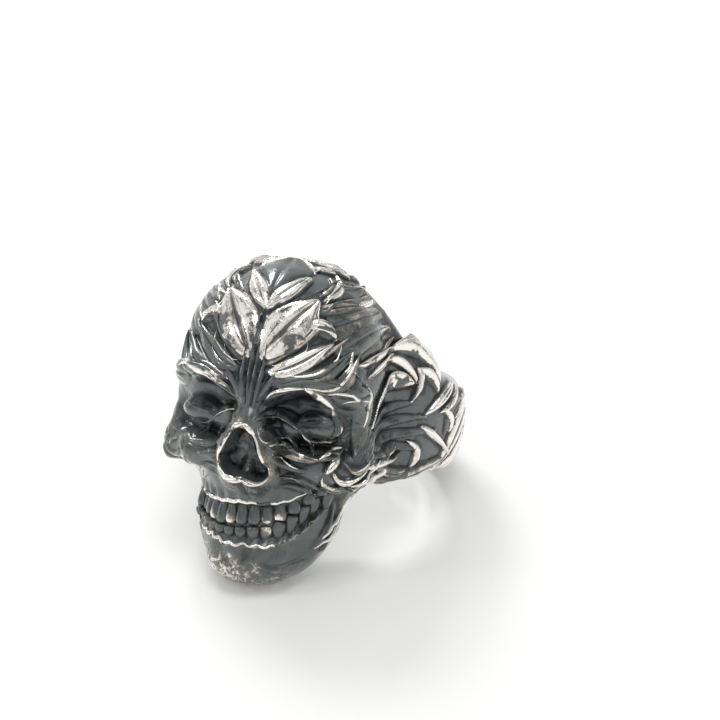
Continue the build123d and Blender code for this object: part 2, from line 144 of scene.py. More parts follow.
# Bones by across, forward, up and thickness, in shares of the head
brow_rows = [
    (0.00, 0.91, 0.187, 0.105), (0.28, 0.90, 0.211, 0.128), (0.57, 0.77, 0.215, 0.130),
    (0.79, 0.55, 0.183, 0.125), (0.88, 0.38, 0.113, 0.108), (0.92, 0.37, 0.042, 0.105),
    (0.95, 0.42, -0.010, 0.120),
]
cheek_rows = [
    (0.42, 0.77, -0.028, 0.120), (0.62, 0.69, -0.040, 0.155), (0.86, 0.44, -0.060, 0.200),
    (0.95, 0.16, -0.045, 0.150), (0.99, -0.08, -0.030, 0.080),
]
nose_rows = [
    (0.00, 0.92, 0.148, 0.116), (0.00, 0.99, 0.077, 0.140), (0.06, 0.95, 0.000, 0.215),
    (0.09, 0.89, -0.053, 0.225),
]
jaw_rows = [
    (0.00, 0.67, -0.353, 0.212), (0.20, 0.64, -0.350, 0.195), (0.41, 0.41, -0.308, 0.160),
    (0.51, 0.21, -0.240, 0.155), (0.65, 0.06, -0.106, 0.175),
]
lid_rows = [
    (0.13, 0.76, 0.096, 0.060), (0.28, 0.76, 0.092, 0.080), (0.46, 0.71, 0.070, 0.050),
]

# Turn in degrees, then how far up the ring reaches there, over the shoulder's height, and how
# far down, over the band's half width
shoulder_rows = [
    (0, 1.03, 1.00), (30, 1.03, 1.00), (41, 0.90, 0.88), (52, 0.71, 0.77), (66, 0.57, 0.71),
    (80, 0.445, 0.71), (100, 0.357, 0.78), (140, 0.325, 0.88), (180, 0.317, 0.91),
]
band_fullness = 2.3


def band(x, d, z):
    r = np.hypot(x, d)
    turn = np.degrees(np.arctan2(np.abs(x), d))
    turns = [row[0] for row in shoulder_rows]
    top = np.interp(turn, turns, [row[1]*shoulder_height for row in shoulder_rows])
    top = np.maximum(top, band_half_width*0.97)
    low = np.interp(turn, turns, [row[2]*band_half_width for row in shoulder_rows])
    middle, half = (top - low)/2, (top + low)/2
    dome = band_crest_radius - band_root_radius
    out, along = np.abs((r - band_root_radius)/dome), np.abs((z - middle)/half)
    q = (out**band_fullness + along**band_fullness)**(1/band_fullness)
    return (q - 1.0)*np.minimum(dome, half)*0.9


def arch_turn(x, d):
    return np.arctan2(x, np.maximum(d - arch_centre, 0.01))


def mouth(turn):
    """levels of the bite, the upper gum and the lower gum at turns along the dental arch"""
    at = np.degrees(turn)
    turns = [row[0] for row in mouth_rows]
    climb, upper, lower = (np.interp(at, turns, [row[k]*head_height for row in mouth_rows])
                           for k in (1, 2, 3))
    return bite + climb, bite + climb + upper, bite + climb - lower


def jaws(x, d, z):
    """the drum of both jaws, with a recess where the teeth are set"""
    narrowing = 1 - 0.30*np.clip((-0.27*head_height - z)/(0.17*head_height), 0, 1)
    plan = np.sqrt((x/(jaw_half_width*narrowing))**2 + ((d - arch_centre)/jaw_depth)**2) + 1e-6
    tall = np.abs(z - jaw_share*head_height)/(0.19*head_height)
    drum = ((plan**4 + tall**4)**0.25 - 1.0)*0.9*jaw_half_width
    turn = arch_turn(x, d)
    _, upper, lower = mouth(turn)
    front = np.clip((1.25 - np.abs(turn))/0.12, 0, 1)*np.clip((d - arch_centre - 0.3)/0.6, 0, 1)
    tooth_wave = np.cos(2*math.pi*turn*jaw_depth/tooth_width)
    middle = (upper + lower)/2
    reach = (upper - lower)/2 + 0.05 - 0.08*tooth_wave*np.sign(z - middle)
    recess = np.clip(6*(1 - np.abs(z - middle)/reach), 0, 1)
    roots = -tooth_wave*np.exp(-((z - upper - 0.8)/0.5)**2)
    return drum + front*(0.65*recess - 0.14*roots)


def skull(x, d, z):
    """the bare head: bones run together, then the openings and hollows cut into them"""
    p = (np.abs(x), d, z)
    tilted = (np.abs(x), d, z + nose_tilt*x)
    w, deep, tall = head_half_width, face_depth, head_height

    def egg(at, wide, thick, high, points=p):
        return ellipsoid(points, place(*at), (wide*w, thick, high*tall))

    def joined(head, form, blend):
        return smooth_min(head, form, blend*deep)

    def cut(head, form, blend):
        return smooth_max(head, -form, blend*deep)

    head = egg((0, 0.175, cranium_share), 1.02, 0.79*deep, 0.305)
    head = joined(head, bone(p, brow_rows, 0.6), 0.12)
    head = joined(head, egg((0, 0.24, -0.092), 0.69, 0.68*deep, 0.148), 0.155)
    head = joined(head, bone(p, nose_rows, 1.0), 0.1)
    head = joined(head, bone(p, cheek_rows, 0.6), 0.08)
    head = joined(head, jaws(x, d, z), 0.05)
    chin = egg((0, 0.75, -0.358), 0.27, 0.20*deep, 0.060)
    head = joined(head, joined(bone(p, jaw_rows, 1.2), chin, 0.12), 0.08)
    head = joined(head, egg((0.60, 0.14, 0.05), 0.37, 0.42*deep, 0.24), 0.1)
    # the eye socket and its lids
    head = cut(head, egg((0.5, 0.876, 0.095), 0.343, socket_depth, 0.0915), 0.06)
    head = joined(head, egg((0.60, 0.66, 0.078), 0.22, 0.12*deep, 0.038), 0.08)
    head = joined(head, egg((0.28, 0.69, 0.064), 0.20, 0.12*deep, 0.036), 0.06)
    head = joined(head, bone(p, lid_rows, 0.5), 0.05)
    # the nasal opening, two lobes wide at its foot, and the ridge inside it
    nostril = egg((0, 1.06, 0.008), 0.155, nose_depth, 0.066, tilted)
    lobe = egg((0.125, 1.0, -0.043), 0.125, 0.75*nose_depth, 0.038, tilted)
    hollow = egg((0, 1.03, -0.026), 0.19, 0.9*nose_depth, 0.050, tilted)
    nostril = smooth_min(smooth_min(nostril, hollow, 0.8), lobe, 0.6)
    head = cut(head, nostril, 0.046)
    ridge = rod(p, place(0, 0.80, 0.02), place(0, 0.93, -0.085), 0.02*w, 0.05*w)
    head = joined(head, ridge, 0.04)
    # the hollows of the temple and below the cheekbone
    head = cut(head, egg((1.31, 0.44, 0.289), 0.35, 0.41*deep, 0.113), 0.15)
    head = cut(head, egg((0.87, 0.63, -0.176), 0.233, 0.35*deep, 0.092), 0.08)
    # the slope under the jaw and the side towards the finger
    r = np.hypot(x, d)
    slope = math.atan2(0.257*tall, 0.485*deep)
    below = -math.sin(slope)*(r - bore_radius) - math.cos(slope)*(z + 0.197*tall)
    head = smooth_max(head, below, 0.08*deep)
    return smooth_max(head, 0.835*bore_radius - d, 0.1*deep)


def casting(x, y, z):
    return smooth_min(skull(x, -y, z), band(x, -y, z), 0.12*face_depth)


def walls(phi, t, start=None, stand=0.0):
    """how far the outer wall is from a ring-shaped core inside the bore, at turns and climbs"""
    ux, uy = np.sin(phi), -np.cos(phi)
    cos_t, sin_t = np.cos(t), np.sin(t)

    def gap(rho):
        r = np.maximum(core_radius + rho*cos_t, bore_radius + 0.05)
        return casting(ux*r, uy*r, core_level + rho*sin_t) - stand

    steps, halvings = 14, 9
    if start is None:
        steps = 45
        start = np.full(phi.shape, 1.25*(face_reach - core_radius) + 2, phi.dtype)
    rho = start
    for _ in range(steps):
        rho = np.maximum(rho - 0.75*np.maximum(gap(rho), 0.0), 0.5)
    low, high = rho - 0.35, rho + 0.05
    for _ in range(halvings):
        middle = 0.5*(low + high)
        inside = gap(middle) < 0
        low = np.where(inside, middle, low)
        high = np.where(inside, high, middle)
    return rho


# the leaves
# Head leaves lie on the cranium's own flat coordinates, in radians about its upper front:
# base across and up, bend across and up, tip across and up, half width, lift share, fullness,
# groove depth, polish on the near side, polish on the far side
head_leaves = [
    (0.00, -0.10, 0.00, 0.24, 0.00, 0.68, 0.300, 0.62, 5.5, 0.30, -0.10, 0.00),
    (0.01, -0.10, 0.13, 0.09, 0.30, 0.36, 0.085, 0.95, 1.1, 0.35, 0.90, 0.95),
    (0.05, -0.56, 0.24, -0.25, 0.45, 0.11, 0.205, 1.10, 1.0, 0.40, 0.95, 0.85),
    (0.15, -0.67, 0.42, -0.54, 0.69, -0.23, 0.085, 0.90, 1.0, 0.40, 0.65, -0.10),
    (0.20, -0.73, 0.60, -0.61, 0.89, -0.22, 0.075, 0.85, 1.0, 0.50, -0.10, -0.15),
    (0.12, -0.92, 0.55, -0.68, 0.93, -0.55, 0.060, 0.80, 1.0, 0.00, -0.15, 0.50),
    (0.62, -0.70, 0.88, -0.54, 0.98, -0.18, 0.065, 0.85, 1.0, 0.25, 0.00, -0.10),
    (0.10, -0.62, 0.34, -0.42, 0.56, -0.10, 0.035, 0.60, 1.0, 0.00, 0.25, 0.05),
    (0.30, -0.64, 0.56, -0.47, 0.80, -0.12, 0.035, 0.60, 1.0, 0.00, 0.15, 0.05),
    (0.36, -0.76, 0.68, -0.60, 0.93, -0.25, 0.035, 0.60, 1.0, 0.00, 0.10, 0.05),
    (0.41, -0.24, 0.54, -0.12, 0.70, -0.20, 0.060, 0.95, 1.0, 0.00, 1.00, 0.60),
    (0.47, 0.60, 0.57, 0.37, 0.47, 0.13, 0.050, 0.85, 1.0, 0.00, 0.75, 0.30),
    (0.42, 0.52, 0.50, 0.36, 0.42, 0.18, 0.030, 0.60, 1.0, 0.00, 0.20, 0.05),
    (0.44, 0.00, 0.62, 0.12, 0.86, 0.36, 0.070, 0.70, 1.1, 0.35, 0.20, 0.10),
    (0.04, 0.70, 0.30, 0.75, 0.62, 0.74, 0.050, 0.50, 1.0, 0.00, 0.85, 0.85),
    (0.20, 0.57, 0.34, 0.63, 0.48, 0.66, 0.035, 0.50, 1.0, 0.00, 0.70, 0.50),
    (0.47, -0.14, 0.76, 0.03, 1.12, 0.64, 0.130, 0.55, 1.0, 0.35, 0.05, 0.05),
    (0.46, 0.06, 0.71, 0.21, 0.96, 0.70, 0.100, 0.50, 1.0, 0.35, 0.08, 0.05),
    (0.43, 0.29, 0.65, 0.46, 0.80, 0.76, 0.090, 0.42, 1.0, 0.35, 0.05, 0.05),
    (0.74, -0.31, 0.96, -0.01, 1.30, 0.60, 0.120, 0.50, 1.0, 0.35, 0.05, 0.05),
    (0.62, 0.00, 0.82, 0.18, 1.04, 0.66, 0.040, 0.60, 1.0, 0.00, 0.20, 0.05),
    (0.60, 0.22, 0.76, 0.38, 0.88, 0.70, 0.035, 0.50, 1.0, 0.00, 0.15, 0.05),
    (0.81, 0.32, 0.88, 0.48, 0.96, 0.64, 0.045, 0.60, 1.0, 0.00, 1.00, 0.40),
    (0.80, -0.72, 1.05, -0.62, 1.34, -0.47, 0.120, 0.55, 1.0, 0.50, -0.20, -0.20),
    (1.00, -0.32, 1.26, -0.04, 1.50, 0.42, 0.045, 0.75, 1.0, 0.00, 0.80, 0.40),
    (1.20, -0.34, 1.39, -0.03, 1.56, 0.38, 0.036, 0.75, 1.0, 0.00, 0.70, 0.40),
    (0.00, -0.97, 0.03, -0.60, 0.02, -0.12, 0.030, 0.75, 1.0, 0.00, -0.30, -0.30),
    (0.05, -0.97, 0.09, -0.76, 0.10, -0.44, 0.034, 0.75, 1.0, 0.00, -0.30, -0.30),
    (0.08, -0.98, 0.15, -0.82, 0.24, -0.66, 0.034, 0.75, 1.0, 0.00, -0.30, -0.30),
    (0.10, -1.00, 0.24, -0.88, 0.42, -0.77, 0.034, 0.75, 1.0, 0.00, -0.30, -0.30),
    (0.03, 0.70, 0.10, 0.90, 0.12, 1.20, 0.060, 0.35, 1.0, 0.25, 0.5, 0.5),
    (0.22, 0.74, 0.36, 0.90, 0.42, 1.20, 0.075, 0.35, 1.0, 0.25, 0.3, 0.3),
    (0.50, 0.80, 0.66, 0.92, 0.78, 1.14, 0.075, 0.32, 1.0, 0.25, 0.3, 0.3),
]

# Folds round the eyes, on the cheekbones and on the jaw: turn in degrees and level in
# millimetres for base, bend and tip, then as above
face_leaves = [
    (2.4, 2.7, 6.8, 3.1, 12.0, 1.9, 0.36, 0.85, 1.0, 0.00, -0.30, -0.30),
    (3.6, 2.1, 5.6, 1.1, 10.0, 1.35, 0.15, 0.55, 1.0, 0.00, -0.10, -0.20),
    (4.0, 2.1, 5.4, 2.15, 6.8, 1.9, 0.30, 0.42, 1.0, 0.00, -0.50, -0.50),
    (11.0, 2.2, 15.0, 2.9, 21.0, 2.8, 0.62, 0.62, 1.4, 0.12, -0.30, -0.30),
    (12.0, 1.9, 15.5, 1.0, 19.0, 1.4, 0.18, 0.60, 1.0, 0.00, 0.05, -0.10),
    (8.6, 1.3, 10.4, 0.8, 12.0, 0.1, 0.16, 0.65, 1.0, 0.00, 0.10, -0.10),
    (12.4, 1.6, 14.6, 1.0, 16.2, 0.1, 0.18, 0.70, 1.0, 0.00, 0.30, 0.00),
    (16.4, 0.9, 19.0, 1.1, 22.5, 1.0, 0.20, 0.60, 1.0, 0.00, 0.20, 0.00),
    (6.2, 0.7, 12.2, -0.15, 18.2, -0.2, 0.36, 1.10, 1.0, 0.00, -0.15, -0.15),
    (17.2, -0.2, 21.0, 0.15, 25.0, 0.6, 0.30, 1.00, 1.0, 0.00, -0.10, -0.10),
    (7.2, -0.2, 10.3, -1.0, 15.2, -1.3, 0.30, 0.85, 1.0, 0.00, -0.25, -0.25),
    (23.4, 0.2, 21.6, -0.5, 19.4, -1.3, 0.40, 1.20, 1.0, 0.00, 0.90, 0.10),
    (18.8, -1.9, 24.4, -3.2, 31.5, -1.5, 0.42, 1.00, 1.0, 0.25, 0.05, -0.10),
    (21.6, -1.2, 25.2, -2.1, 31.5, -0.8, 0.26, 0.95, 1.0, 0.00, 0.20, -0.10),
    (25.0, -0.6, 28.8, -1.2, 33.0, 0.1, 0.24, 0.80, 1.0, 0.00, 0.00, -0.10),
    (26.0, 4.8, 28.4, 2.4, 27.0, -0.2, 0.75, 0.30, 1.2, 0.20, -0.15, -0.15),
    (24.0, -4.6, 23.0, -6.5, 17.5, -8.6, 0.24, 0.55, 1.0, 0.00, -0.20, -0.20),
    (26.5, -5.0, 25.0, -7.2, 20.5, -9.0, 0.20, 0.50, 1.0, 0.00, -0.20, -0.20),
    (17.0, -9.6, 11.0, -10.2, 4.0, -9.6, 0.22, 0.40, 1.0, 0.00, -0.15, -0.15),
    (9.0, -2.3, 14.0, -2.3, 22.0, -4.2, 0.22, 0.55, 1.0, 0.00, -0.20, -0.20),
    (8.6, -2.9, 13.0, -3.0, 19.0, -4.3, 0.18, 0.50, 1.0, 0.00, -0.20, -0.20),
]

# Band leaves, laid out as the folds are
band_leaves = [
    (42, 8.1, 58, 8.0, 72, 5.0, 0.66, 0.85, 1.0, 0.08, 1.0, 1.0),
    (39, 7.1, 48, 6.9, 56, 5.2, 0.33, 0.90, 1.2, 0.00, 1.0, 0.8),
    (56, 6.4, 58, 5.2, 53, 3.5, 0.36, 1.00, 1.0, 0.00, 1.0, 0.8),
    (56, 6.3, 64, 5.7, 70, 4.1, 0.34, 1.00, 1.0, 0.00, 1.0, 0.8),
    (83, 4.8, 74, 3.8, 62, 2.4, 0.55, 1.00, 1.0, 0.30, 1.0, 0.8),
    (105, 3.5, 92, 2.6, 81, 1.5, 0.50, 0.95, 1.0, 0.30, 0.9, 0.8),
    (33, 2.2, 41, 5.2, 54, 5.0, 0.80, 1.00, 2.8, 0.08, 1.1, 0.6),
    (31, 0.3, 41, 2.9, 57, 3.5, 0.42, 0.60, 1.2, 0.00, -0.15, -0.1),
    (31, -0.1, 43, 1.9, 64, 2.2, 0.46, 0.60, 1.2, 0.00, -0.15, -0.1),
    (31, -0.4, 45, 0.8, 72, 0.9, 0.46, 0.60, 1.2, 0.00, -0.15, -0.1),
    (31, -0.7, 45, -0.1, 64, -0.8, 0.40, 0.60, 1.2, 0.00, -0.15, -0.1),
    (60, 1.4, 69, 0.4, 84, -1.7, 0.34, 1.00, 1.0, 0.00, 1.0, 0.8),
    (54, 0.2, 60, -0.8, 59, -2.3, 0.36, 0.95, 1.0, 0.00, 0.9, 0.6),
    (74, 2.6, 80, 1.6, 79, 0.4, 0.34, 0.95, 1.0, 0.00, 0.9, 0.6),
    (30, -0.8, 38, -0.9, 48, -0.1, 0.26, 0.90, 1.0, 0.00, 0.8, 0.6),
    (28, -2.2, 38, -1.8, 52, -0.7, 0.28, 0.90, 1.0, 0.00, 0.6, 0.6),
    (34, -1.1, 47, -2.4, 56, -2.2, 0.40, 0.75, 1.0, 0.20, 0.25, 0.3),
    (40, -3.2, 57, -2.9, 80, -1.6, 0.50, 0.70, 1.0, 0.20, 0.2, 0.2),
    (30, 6.6, 36, 8.0, 45, 9.2, 0.40, 0.45, 1.0, 0.25, 0.1, 0.1),
    (88, 4.4, 81, 3.2, 72, 2.4, 0.42, 0.95, 1.0, 0.15, 0.9, 0.7),
]

# Leaves that cross the back of the band, laid out as the folds are, with turns counted from
# each crossing
back_pattern = [
    (-13, -2.9, -2, 0.5, 13, 2.2, 1.40, 0.80, 1.7, 0.50, 0.55, 0.55),
    (-8, -2.9, 3, -1.9, 11, 0.6, 0.85, 0.70, 1.3, 0.45, 0.85, 0.85),
    (-13, 0.4, -8, 2.3, 3, 3.1, 0.70, 0.65, 1.2, 0.40, 0.10, 0.10),
]
crossings, first_crossing, crossing_step = 5, 90, 21

# Where the leaves end: radius and turn for the folds, turn, reach and lowest place on the
# cranium for the head's, and the first turn on the near and the far side for the band's
face_from_radius, face_to_turn = 14, 33
head_to_turn, head_reach, head_from = 49, 1.8, -0.97
band_from_near, band_from_far = 28, 37
face_degree = 0.3
band_degree = math.radians(1)*0.5*(band_crest_radius + band_root_radius + 1.4)

# Scratched and stained patches of the bare casting: turn and level of the middle, how far
# they reach in both, and how strong they are
stain_patches = [
    (-7, -11.0, 14, 1.9, 0.98), (12, -12.0, 18, 1.4, 1.05), (-14, -9.0, 5, 1.6, 0.6),
    (-30, -0.9, 5, 1.2, 0.8), (0, -0.4, 5, 2.2, 0.9), (27, 2.2, 3.2, 2.2, 0.7),
    (24, -2.7, 4.0, 1.0, 1.0), (0, -3.9, 5, 0.6, 0.5), (30, 7.0, 3, 1.2, 0.7),
    (24, 10.5, 4, 1.0, 0.6), (-12, 13.5, 6, 1.5, 0.5), (38, 9.6, 4, 1.2, 0.8),
]


def back_leaves():
    """the leaves of all crossings, every other one turned upside down"""
    rows = []
    for k in range(crossings):
        turn, flip = first_crossing + crossing_step*k, (-1)**k
        for row in back_pattern:
            rows.append((turn + row[0], row[1]*flip, turn + row[2], row[3]*flip,
                         turn + row[4], row[5]*flip) + row[6:])
    return rows


def leaf(u, v, row, lift):
    """height and polish of one leaf, over flat coordinates u and v"""
    bu, bv, mu, mv, tu, tv, width, share, full, groove_depth = row[:10]
    height, shine = np.zeros(u.shape, u.dtype), np.zeros(u.shape, u.dtype)
    m = 1.3*width
    near = ((u > min(bu, mu, tu) - m) & (u < max(bu, mu, tu) + m)
            & (v > min(bv, mv, tv) - m) & (v < max(bv, mv, tv) + m))
    if not near.any():
        return height, shine
    pu, pv = u[near], v[near]
    cu, cv = 2*mu - 0.5*(bu + tu), 2*mv - 0.5*(bv + tv)
    pieces = 18
    t = np.linspace(0, 1, pieces + 1)
    xs = (1 - t)**2*bu + 2*t*(1 - t)*cu + t*t*tu
    ys = (1 - t)**2*bv + 2*t*(1 - t)*cv + t*t*tv
    nearest = np.full(pu.shape, 1e9)
    along, side = np.zeros(pu.shape), np.zeros(pu.shape)
    for i in range(pieces):
        dx, dy = xs[i + 1] - xs[i], ys[i + 1] - ys[i]
        run2 = dx*dx + dy*dy
        w = ((pu - xs[i])*dx + (pv - ys[i])*dy)/run2
        held = np.clip(w, 0, 1)
        far2 = (pu - xs[i] - held*dx)**2 + (pv - ys[i] - held*dy)**2
        closer = far2 < nearest
        nearest = np.where(closer, far2, nearest)
        low = -9.0 if i == 0 else 0.0
        high = 9.0 if i == pieces - 1 else 1.0
        along = np.where(closer, (i + np.clip(w, low, high))/pieces, along)
        side = np.where(closer, (dx*(pv - ys[i]) - dy*(pu - xs[i]))/math.sqrt(run2), side)
    held = np.clip(along, 0, 1)
    swell = np.sin(math.pi*held**(0.55*full + 0.45))**0.8
    half = np.maximum(width*(0.22*(1 - held) + 0.95*swell), 1e-6)
    q = np.sqrt(nearest)/half
    dome = np.sqrt(np.clip(1 - q**2.6, 0, 1))
    ends = np.clip((along + 0.06)/0.06, 0, 1)*np.clip((1.04 - along)/0.04, 0, 1)
    rib = np.exp(-(side/(0.14*half + 0.012*width))**2)*np.clip(4*held*(1.15 - held), 0, 1)
    rise = 0.6 + 0.4*np.clip(3*held, 0, 1)
    height[near] = lift*share*ends*rise*(dome - groove_depth*rib*(dome > 0))
    shine[near] = ends*np.clip((dome - 0.42)/0.3, 0, 1)*(1 - np.clip(1.6*groove_depth*rib, 0, 1))
    return height, shine


def ornament(points):
    """how far the leaves stand out at each point of the bare casting, and how polished they are"""
    x, d, z = points[..., 0], -points[..., 1], points[..., 2]
    centre = place(0, cranium_forward, cranium_share)
    ray = points - np.array([centre[0], -centre[1], centre[2]])
    ray = ray/np.linalg.norm(ray, axis=-1, keepdims=True)
    up = ray@leaf_up
    away = np.arccos(np.clip(ray@leaf_forward, -1, 1))
    flat = np.hypot(ray[..., 0], up) + 1e-9
    u, v = np.abs(away*ray[..., 0]/flat), away*up/flat
    turn = np.degrees(np.arctan2(np.abs(x), d))
    r = np.hypot(x, d)
    near_side = x >= 0
    bare = np.zeros(x.shape), np.zeros(x.shape)

    def lay(under, rows, across, upward, degree, lift, within, far_rise=1.0):
        """one table's leaves over what lies there, each where it stands highest"""
        height, shine = under
        for row in rows:
            sized = (row[0]*degree, row[1], row[2]*degree, row[3], row[4]*degree, row[5]) + row[6:]
            h, s = leaf(across*degree, upward, sized, lift)
            h = h*within*np.where(near_side, 1.0, far_rise)
            over = h > height
            height = np.where(over, h, height)
            shine = np.where(over, s*within*np.where(near_side, row[10], row[11]), shine)
        return height, shine

    on_face = np.clip((r - face_from_radius)/0.8, 0, 1)*np.clip((face_to_turn - turn)/2, 0, 1)
    folds = lay(bare, face_leaves, turn, z, face_degree, leaf_lift, on_face*(d > 0), 0.3)
    on_head = np.clip((v - head_from)/0.05, 0, 1)*np.clip((head_to_turn - turn)/4, 0, 1)
    on_head = on_head*np.clip((head_reach - np.hypot(u, v))/0.1, 0, 1)
    head, head_shine = lay(folds, head_leaves, u, v, 1.0, leaf_lift, on_head)
    on_band = np.clip((turn - np.where(near_side, band_from_near, band_from_far))/3, 0, 1)
    on_band = on_band*np.clip((r - band_root_radius - 0.1)/0.35, 0, 1)
    back, back_shine = lay(bare, band_leaves + back_leaves(), turn, z, band_degree, band_leaf_lift,
                           on_band)
    return np.maximum(head, back), np.where(head >= back, head_shine, back_shine)


def stain_of(p):
    """how scratched and stained each point is"""
    side_turn = np.degrees(np.arctan2(p[..., 0], -p[..., 1]))
    stain = np.zeros(p.shape[:-1])
    for turn_at, level_at, turn_reach, level_reach, amount in stain_patches:
        far2 = ((side_turn - turn_at)/turn_reach)**2 + ((p[..., 2] - level_at)/level_reach)**2
        stain = np.maximum(stain, amount*np.exp(-far2**1.5))
    return stain


# the casting's surface
def blurred(a, passes):
    """a grid evened out between neighbours"""
    for _ in range(passes):
        b = a.copy()
        b[1:-1] = 0.5*a[1:-1] + 0.25*(a[2:] + a[:-2])
        a = b.copy()
        a[:, 1:-1] = 0.5*b[:, 1:-1] + 0.25*(b[:, 2:] + b[:, :-2])
    return a


def sections(first_turn, last_turn, columns, rows):
    """points and polish of a run of sections round the finger, each a row of points up the wall"""
    phis = np.radians(np.linspace(first_turn, last_turn, columns))
    lowest, highest, looks = -82, 84, 170
    climbs = np.radians(np.linspace(lowest, highest, looks))
    phi = phis[:, None]*np.ones(len(climbs))[None, :]
    coarse = walls(phi, np.ones(columns)[:, None]*climbs[None, :])
    r = core_radius + coarse*np.cos(climbs)
    z = core_level + coarse*np.sin(climbs)
    t = []
    for i in range(columns):
        last = len(climbs) - 1
        top = next((k for k in range(last//2, last) if r[i, k + 1] < rim_radius), last - 1)
        low = next((k for k in range(last//2, 0, -1) if r[i, k - 1] < rim_radius), 1)
        a = np.clip((r[i, low] - rim_radius)/max(r[i, low] - r[i, low - 1], 1e-6), 0, 1)
        b = np.clip((r[i, top] - rim_radius)/max(r[i, top] - r[i, top + 1], 1e-6), 0, 1)
        step = climbs[1] - climbs[0]
        start, end = climbs[low] - a*step, climbs[top] + b*step
        inner = (climbs > start) & (climbs < end)
        tt = np.concatenate([[start], climbs[inner], [end]])
        rr, zz = np.interp(tt, climbs, r[i]), np.interp(tt, climbs, z[i])
        run = np.minimum(np.hypot(np.diff(rr), np.diff(zz)), 0.9) + 0.02
        length = np.concatenate([[0], np.cumsum(run)])/run.sum()
        t.append(np.interp(np.linspace(0, 1, rows), length, tt))
    t = np.array(t)
    start, span = t[:, :1].copy(), t[:, -1:] - t[:, :1]
    share = (t - start)/span
    even_passes = 40
    for _ in range(even_passes):
        share[1:-1] = 0.5*share[1:-1] + 0.25*(share[2:] + share[:-2])
    t = start + share*span
    widest = [np.maximum.reduce([row, np.roll(row, 1), np.roll(row, -1)]) for row in coarse]
    guess = np.array([np.interp(t[i], climbs, widest[i]) for i in range(columns)])
    phi = phis[:, None]*np.ones(rows)[None, :]
    bare = walls(phi, t, guess + 0.4)

    def points_at(rho):
        r = np.maximum(core_radius + rho*np.cos(t), rim_radius)
        return np.stack([np.sin(phi)*r, -np.cos(phi)*r, core_level + rho*np.sin(t)], -1)

    stand, shine = ornament(points_at(bare))
    raised = walls(phi, t, bare + 1.3, stand)
    even = blurred(raised, 2)
    steep = np.clip(8*np.abs(even - raised) - 0.25, 0, 1)
    raised = raised + steep*(even - raised)
    raised[:, 0], raised[:, -1] = bare[:, 0], bare[:, -1]
    return points_at(raised), shine


def grid_normals(p):
    """which way a grid of points faces at each of them"""
    across, along = np.empty_like(p), np.empty_like(p)
    across[1:-1], across[0], across[-1] = p[2:] - p[:-2], p[1] - p[0], p[-1] - p[-2]
    along[:, 1:-1] = p[:, 2:] - p[:, :-2]
    along[:, 0], along[:, -1] = p[:, 1] - p[:, 0], p[:, -1] - p[:, -2]
    n = np.cross(across, along)
    return n/(np.linalg.norm(n, axis=-1, keepdims=True) + 1e-12)


def casting_piece(name, p, first_row, last_row, shine, height):
    """one closed block of the casting between two rows, with its share of the bore wall"""
    block = p[:, first_row:last_row + 1]
    columns, rows = block.shape[:2]
    strips, seam_passes, sharp_angle = 5, 60, math.radians(80)

    def on_bore(edge):
        away = np.hypot(edge[:, 0], edge[:, 1])
        shrink = bore_radius/away
        climb = np.arctan2(edge[:, 2] - core_level, away - core_radius)
        level = core_level + (bore_radius - core_radius)*np.tan(climb)
        for _ in range(seam_passes):
            level[1:-1] = 0.5*level[1:-1] + 0.25*(level[2:] + level[:-2])
        return np.stack([edge[:, 0]*shrink, edge[:, 1]*shrink, level], -1)

    inner_low, inner_top = on_bore(block[:, 0]), on_bore(block[:, -1])
    bore = [inner_low + (inner_top - inner_low)*k/strips for k in range(strips + 1)]
    grid = np.concatenate([block, np.stack(bore[::-1], 1)], 1)
    around = grid.shape[1]
    index = np.arange(columns*around).reshape(columns, around)
    beside = np.roll(index, -1, 1)
    quads = np.stack([index[:-1], index[1:], beside[1:], beside[:-1]], -1).reshape(-1, 4)
    verts = laid_down(grid.reshape(-1, 3))
    # worn flat where it rests
    verts[:, 2] = np.maximum(verts[:, 2], rest_level*MM)
    faces = quads.tolist() + [index[0].tolist(), index[-1][::-1].tolist()]
    mesh = bpy.data.meshes.new(name)
    mesh.from_pydata(verts.tolist(), [], faces)
    flat = np.zeros(len(faces), bool)
    flat[-2:] = True
    mesh.polygons.foreach_set("use_smooth", ~flat)
    mesh.set_sharp_from_angle(angle=sharp_angle)
    # high carries real wear on high places and painted shade in creases and hollows
    for attribute, values in (("polish", shine), ("high", height), ("stain", stain_of(p))):
        full = np.zeros((columns, around), np.float32)
        full[:, :rows] = values[:, first_row:last_row + 1]
        layer = mesh.attributes.new(attribute, "FLOAT", "POINT")
        layer.data.foreach_set("value", full.ravel())
    piece = bpy.data.objects.new(name, mesh)
    bpy.context.scene.collection.objects.link(piece)
    return piece


def wear_and_shade_of(p, near, far):
    """how far each point stands above its surroundings, from -0.8 to 0.8, and less in sockets: high
    places are rubbed bright as real wear, and low places, creases and hollows get painted shade
    """
    n = grid_normals(p)
    fine = ((p - blurred(p, near))*n).sum(-1)
    broad = ((p - blurred(p, far))*n).sum(-1)
    # above the surroundings: real wear; below them: painted shade in creases and hollows
    high = np.clip(fine/0.035, -1, 1)*0.35 + np.clip(broad/0.25, -1, 1)*0.45
    turn = np.degrees(np.arctan2(np.abs(p[..., 0]), -p[..., 1]))
    in_socket = np.exp(-(((turn - 11)/8.5)**2 + ((p[..., 2] - 2.9)/2.4)**2)**2)
    in_nose = np.exp(-((turn/6.5)**2 + ((p[..., 2] + 0.4)/2.6)**2)**3)
    return np.where(high > 0, high*(1 - 0.85*in_socket)*(1 - 0.75*in_nose), high)


